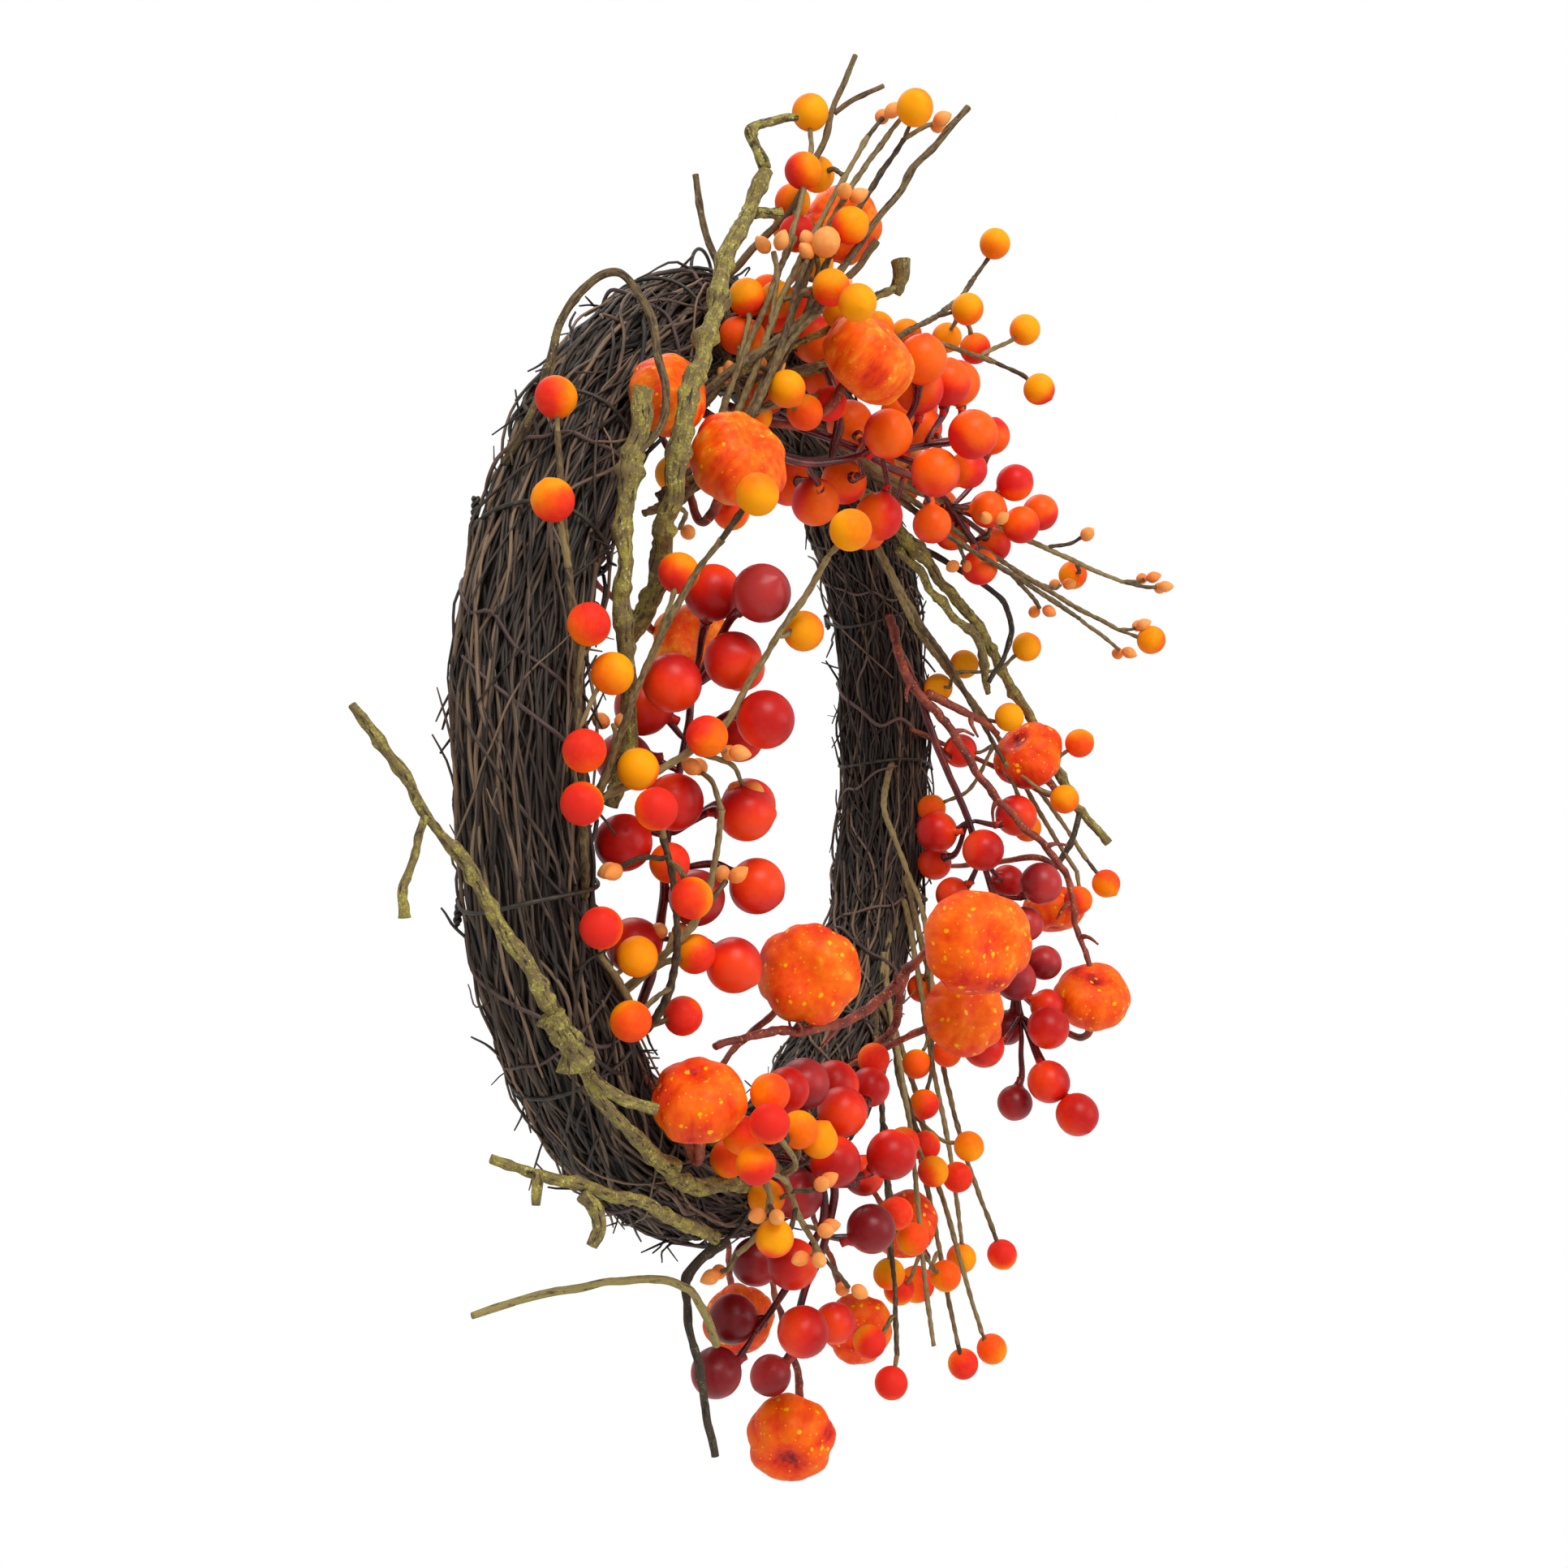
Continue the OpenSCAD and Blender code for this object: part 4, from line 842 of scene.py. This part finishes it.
def pumpkin(piece, shell, ends, dark, deep):
    """A mini pumpkin with uneven lobes, warts, and a dimple at its blossom end, which faces away from the
    nearest of the stems' ends. dark is how dark the dimple is, and deep how deep an orange the rest is."""
    rings = layers(*shell)
    points = shell[0]
    middle = (rings[0][0] + rings[-1][0]) / 2
    axis = unit(rings[0][0] - rings[-1][0])
    if (nearest(ends, middle) - middle) @ axis > 0:
        axis = -axis
    half_wide = length(np.cross(points - middle, axis)).max()
    half_tall = np.abs((points - middle) @ axis).max()
    sides, count = 96, 46
    lobes = rng.integers(7, 10)
    fall = np.linspace(0.03, math.pi - 0.03, count)[:, None]
    turn = around(sides)
    ball = lathe(axis, middle, half_tall * np.cos(fall[:, 0]), half_wide * np.sin(fall[:, 0]), sides)
    lean = 0.16 * noise(ball + 5 * middle, 1.3 * half_wide)
    crease = (1 - np.abs(np.sin(lobes * (turn + lean) / 2 + lobes)) ** 0.8) * np.sin(fall) ** 1.3
    depth = 0.06 * (1 + 1.1 * noise(ball + 3 * middle, 0.7 * half_wide))
    bumps = 0.07 * noise(ball, 0.7 * half_wide) + 0.045 * noise(ball + 0.5, 0.33 * half_wide)
    swell = 1 - depth * crease + bumps + 0.012 * noise(ball, 1.6 * MM)
    hollow = np.exp(-((np.sin(fall) / (0.2 + 0.12 * rng.random())) ** 2))
    heights = 1.06 * half_tall * np.cos(fall) * (1 - 0.2 * hollow) * (0.35 + 0.65 * swell)
    radii = half_wide * np.sin(fall) ** 0.78 * swell
    skin = middle + heights[..., None] * axis + radii[..., None] * spokes(axis, sides)
    front = hollow * (np.cos(fall) > 0)
    patch = np.clip(noise(ball + 7 * middle, 0.7 * half_wide), 0, 1)
    # The crease share reddens and darkens the creases between the lobes: painted shade. The dimple's red and
    # the patches are the paint's own colour.
    blush = deep + 0.2 * crease + (0.12 + dark) * front + 0.45 * patch
    # The brush strokes run from dimple to dimple, so the grain is shortened along the axis.
    grain = skin - middle
    grain = grain - 0.75 * (grain @ axis)[..., None] * axis + rng.uniform(0, 1, 3)
    top, bottom = middle + heights[0].mean() * axis, middle + heights[-1].mean() * axis
    piece.sleeve(skin[::-1], bottom, top, blush=blush[::-1], grain=grain[::-1])


def make_pumpkins(finish, node, dark, deep):
    piece, ends = Piece(), stem_ends("pumpkin_stems")
    for shell in shells(node):
        pumpkin(piece, shell, ends, dark, deep)
    piece.finish(node + "_painted", finish, "pumpkin", node)


# ---- The whole wreath ----

make_ring()
make_bindings()
make_wires()

olive_looks = rgb(128, 110, 68), rgb(52, 40, 28), rgb(164, 152, 62), rgb(222, 216, 180)
brown_looks = rgb(122, 100, 66), rgb(62, 48, 34), rgb(126, 116, 58), rgb(168, 152, 112)
pale_looks = rgb(162, 144, 86), rgb(96, 78, 48), rgb(146, 140, 74), rgb(196, 182, 130)
black_looks = rgb(70, 58, 44), rgb(34, 28, 24), rgb(92, 88, 54), rgb(130, 120, 92)
olive = bark_finish("mossy_bark", *olive_looks, 0.12)
brown = bark_finish("twig_bark", *brown_looks, 0.03)
pale = bark_finish("bare_twig_bark", *pale_looks, 0.04)
black = bark_finish("dark_twig_bark", *black_looks, 0.0)
mossy_nodes = ("hooked_twig", "upright_twig", "drooping_branch", "lower_left_twig", "right_mossy_twig")
plain_nodes = ("straight_twig", "long_top_twigs", "forked_twig")
make_twigs(olive, "mossy_bark", (*mossy_nodes, "crossing_twig"), 1.3)
make_twigs(brown, "mossy_bark", plain_nodes, 0.6)
make_twigs(brown, "dry_vine", ("arched_vine",), 0.5)
make_twigs(pale, "bare_wood", ("bare_twig",), 0.5)
make_twigs(black, "dark_bark", ("bottom_dark_twig", "right_dark_twig"), 0.8)

paper_nodes = [pick + "_paper_stems" for pick in ("left", "top", "upper_right", "right", "bottom", "hanging")]
make_stems(paper_finish(), "paper_stem", paper_stem, [*paper_nodes, "right_bud_stems"])
moulded_nodes = [pick + "_moulded_stem" for pick in ("left", "top", "right", "bottom")]
make_stems(moulded_finish(), "moulded_stem", moulded_stem, moulded_nodes)
rust_nodes = ("right_thorny_stem", "centre_thorny_stem", "pumpkin_stems")
make_stems(thorny_finish(), "thorny_stem", rust_stem, rust_nodes)

# Paints, from a blush of 0 to a blush of 1
MATTE = (
    (0, rgb(255, 164, 2)),
    (0.28, rgb(255, 138, 0)),
    (0.52, rgb(254, 104, 2)),
    (0.72, rgb(252, 78, 16)),
    (0.88, rgb(244, 56, 22)),
    (1, rgb(230, 42, 28)),
)
FLAME = ((0, rgb(255, 118, 8)), (0.4, rgb(253, 88, 8)), (0.7, rgb(244, 54, 16)), (1, rgb(222, 34, 26)))
RED = ((0, rgb(242, 64, 14)), (0.35, rgb(224, 38, 16)), (0.7, rgb(192, 22, 14)), (1, rgb(148, 12, 12)))
DARK = ((0, rgb(182, 44, 42)), (0.4, rgb(156, 30, 32)), (0.75, rgb(128, 18, 24)), (1, rgb(96, 12, 18)))
small = berry_finish("matte_berry", MATTE, 0.55, 0.0)
flame = berry_finish("flame_berry", FLAME, 0.45, 0.12)
red = berry_finish("red_berry", RED, 0.42, 0.22)
dark = berry_finish("dark_berry", DARK, 0.42, 0.35)

# Blushes, as (low, high, sunny)
GOLDEN = (0.0, 0.45, -0.3)
ORANGEY = (0.2, 0.7, 0.2)
MIXED = (0.15, 0.9, -0.3)
TWO_TONE = (-0.05, 1.15, -1.2)
CORAL = (0.2, 1.0, 0.9)
REDDISH = (0.45, 0.95, 0.4)
GLOWING = (0.32, 1.5, -1.3)
RIPE = (0.0, 0.75, 0.3)
SMALL_KINDS = {
    "left_red": (MIXED, REDDISH, CORAL, REDDISH, MIXED, CORAL, REDDISH, CORAL, REDDISH, CORAL),
    "left_amber": (GOLDEN, CORAL, TWO_TONE, ORANGEY, MIXED, GOLDEN, ORANGEY, GOLDEN, CORAL, GOLDEN),
    "top_red": (MIXED, MIXED, REDDISH, CORAL),
    "top_amber": (MIXED, ORANGEY, GOLDEN, GOLDEN, MIXED, ORANGEY, GOLDEN, ORANGEY, GOLDEN),
    "right_red": (REDDISH, ORANGEY, REDDISH, TWO_TONE, ORANGEY, REDDISH, REDDISH),
    "right_amber": (ORANGEY, ORANGEY, GOLDEN, GOLDEN, ORANGEY, GOLDEN, GOLDEN, ORANGEY),
    "hanging_red": (CORAL, MIXED, CORAL, REDDISH),
    "hanging_amber": (ORANGEY, MIXED, GOLDEN),
}
for pick_tone, kinds in SMALL_KINDS.items():
    pick, tone = pick_tone.split("_")
    make_berries(small, "berry_" + tone, pick_tone + "_berries", pick + "_paper_stems", 0, kinds)
upper_kinds = (GOLDEN, ORANGEY, GOLDEN, REDDISH, TWO_TONE, GOLDEN, GOLDEN, ORANGEY)
make_berries(small, "berry_red", "upper_right_berries", "upper_right_paper_stems", 0, upper_kinds)
make_berries(small, "berry_red", "right_bud_stem_berries", "right_bud_stems", 0, (ORANGEY,))
bottom_kinds = (CORAL, CORAL, ORANGEY, REDDISH, ORANGEY, TWO_TONE, GOLDEN, ORANGEY, MIXED)
make_berries(small, "berry_red", "bottom_berries", "bottom_paper_stems", 0, bottom_kinds)
NECK = 3 * MM
make_berries(flame, "berry_gloss_red", "top_large_berries", "top_moulded_stem", NECK, (GLOWING,))
for pick in ("left", "right", "bottom"):
    stems = pick + "_moulded_stem"
    make_berries(red, "berry_gloss_red", pick + "_large_red_berries", stems, NECK, (RIPE,))
    make_berries(dark, "berry_dark", pick + "_large_dark_berries", stems, NECK, (RIPE,))

peach = bud_finish()
for pick in ("left", "top", "bottom"):
    make_buds(peach, pick + "_buds", pick + "_paper_stems")
make_buds(peach, "right_buds", "right_bud_stems")

brushed = pumpkin_finish("brushed_pumpkin", 1.2, 0.7)
speckled = pumpkin_finish("speckled_pumpkin", 0.7, 1)
make_pumpkins(brushed, "top_pumpkins", 0.1, 0.2)
for pick, shade, deep in (("centre", 0.1, 0.28), ("right", 0.55, 0.34), ("bottom", 0.15, 0.34)):
    make_pumpkins(speckled, pick + "_pumpkins", shade, deep)


# ---- Studio ----

ROOM_LIGHT = 0.6
FLOOR_R, FLOOR_LEVEL = 1.1, -1.0
CAMERA_AZIMUTH, CAMERA_AWAY, CAMERA_ASIDE, CAMERA_LOWER = math.radians(-66.7), 0.587, 0.014, 0.0081


def area_light(name, place, size, watts, colour):
    light = bpy.data.lights.new(name, "AREA")
    light.shape, light.size, light.energy, light.color = "DISK", size, watts, colour
    lamp = bpy.data.objects.new(name, light)
    lamp.location = place
    lamp.rotation_euler = (Vector(MIDDLE) - Vector(place)).to_track_quat("-Z", "Y").to_euler()
    bpy.context.scene.collection.objects.link(lamp)


def make_studio():
    """A room that lights softly and looks white to the camera, three lamps, and a pale round floor."""
    world = bpy.data.worlds.new("white_room")
    bpy.context.scene.world = world
    world.use_nodes = True
    nodes, links = world.node_tree.nodes, world.node_tree.links
    seen = nodes.new("ShaderNodeLightPath")
    level = nodes.new("ShaderNodeMapRange")
    level.inputs["To Min"].default_value = ROOM_LIGHT
    level.inputs["To Max"].default_value = 1
    links.new(seen.outputs["Is Camera Ray"], level.inputs["Value"])
    links.new(level.outputs["Result"], nodes["Background"].inputs["Strength"])
    nodes["Background"].inputs["Color"].default_value = (1, 1, 1, 1)
    area_light("key", (-0.9, -0.8, 1.15), 1.0, 19, (1, 0.99, 0.97))
    area_light("fill", (0.1, -1.5, 0.0), 1.0, 5, (1, 1, 1))
    area_light("back", (0.7, 0.7, 1.0), 0.9, 6, (1, 1, 1))
    rim = [(FLOOR_R * math.sin(a), FLOOR_R * math.cos(a), FLOOR_LEVEL) for a in around(96)]
    mesh = bpy.data.meshes.new("floor")
    mesh.from_pydata(rim, [], [list(range(len(rim) - 1, -1, -1))])
    floor = bpy.data.objects.new("floor", mesh)
    make = Finish("pale_floor", Roughness=0.9)
    mottle = make.speckle(make.here(), 0.5)
    mesh.materials.append(make.done(make.ramp(mottle, (0, rgb(244, 243, 240)), (1, rgb(250, 249, 247)))))
    bpy.context.scene.collection.objects.link(floor)


def make_camera():
    """The wreath is seen from the left of its front, level with its middle."""
    back = Vector((math.sin(CAMERA_AZIMUTH), -math.cos(CAMERA_AZIMUTH), 0))
    right = Vector((math.cos(CAMERA_AZIMUTH), math.sin(CAMERA_AZIMUTH), 0))
    data = bpy.data.cameras.new("camera")
    data.sensor_width, data.lens = 36, 41.7
    data.clip_start, data.clip_end = 0.01, 50
    camera = bpy.data.objects.new("camera", data)
    aim = Vector(MIDDLE) + CAMERA_ASIDE * right - Vector((0, 0, CAMERA_LOWER))
    camera.location = aim + CAMERA_AWAY * back
    camera.rotation_euler = (-back).to_track_quat("-Z", "Y").to_euler()
    bpy.context.scene.collection.objects.link(camera)
    bpy.context.scene.camera = camera
    bpy.context.scene.view_settings.view_transform = "Standard"


make_studio()
make_camera()
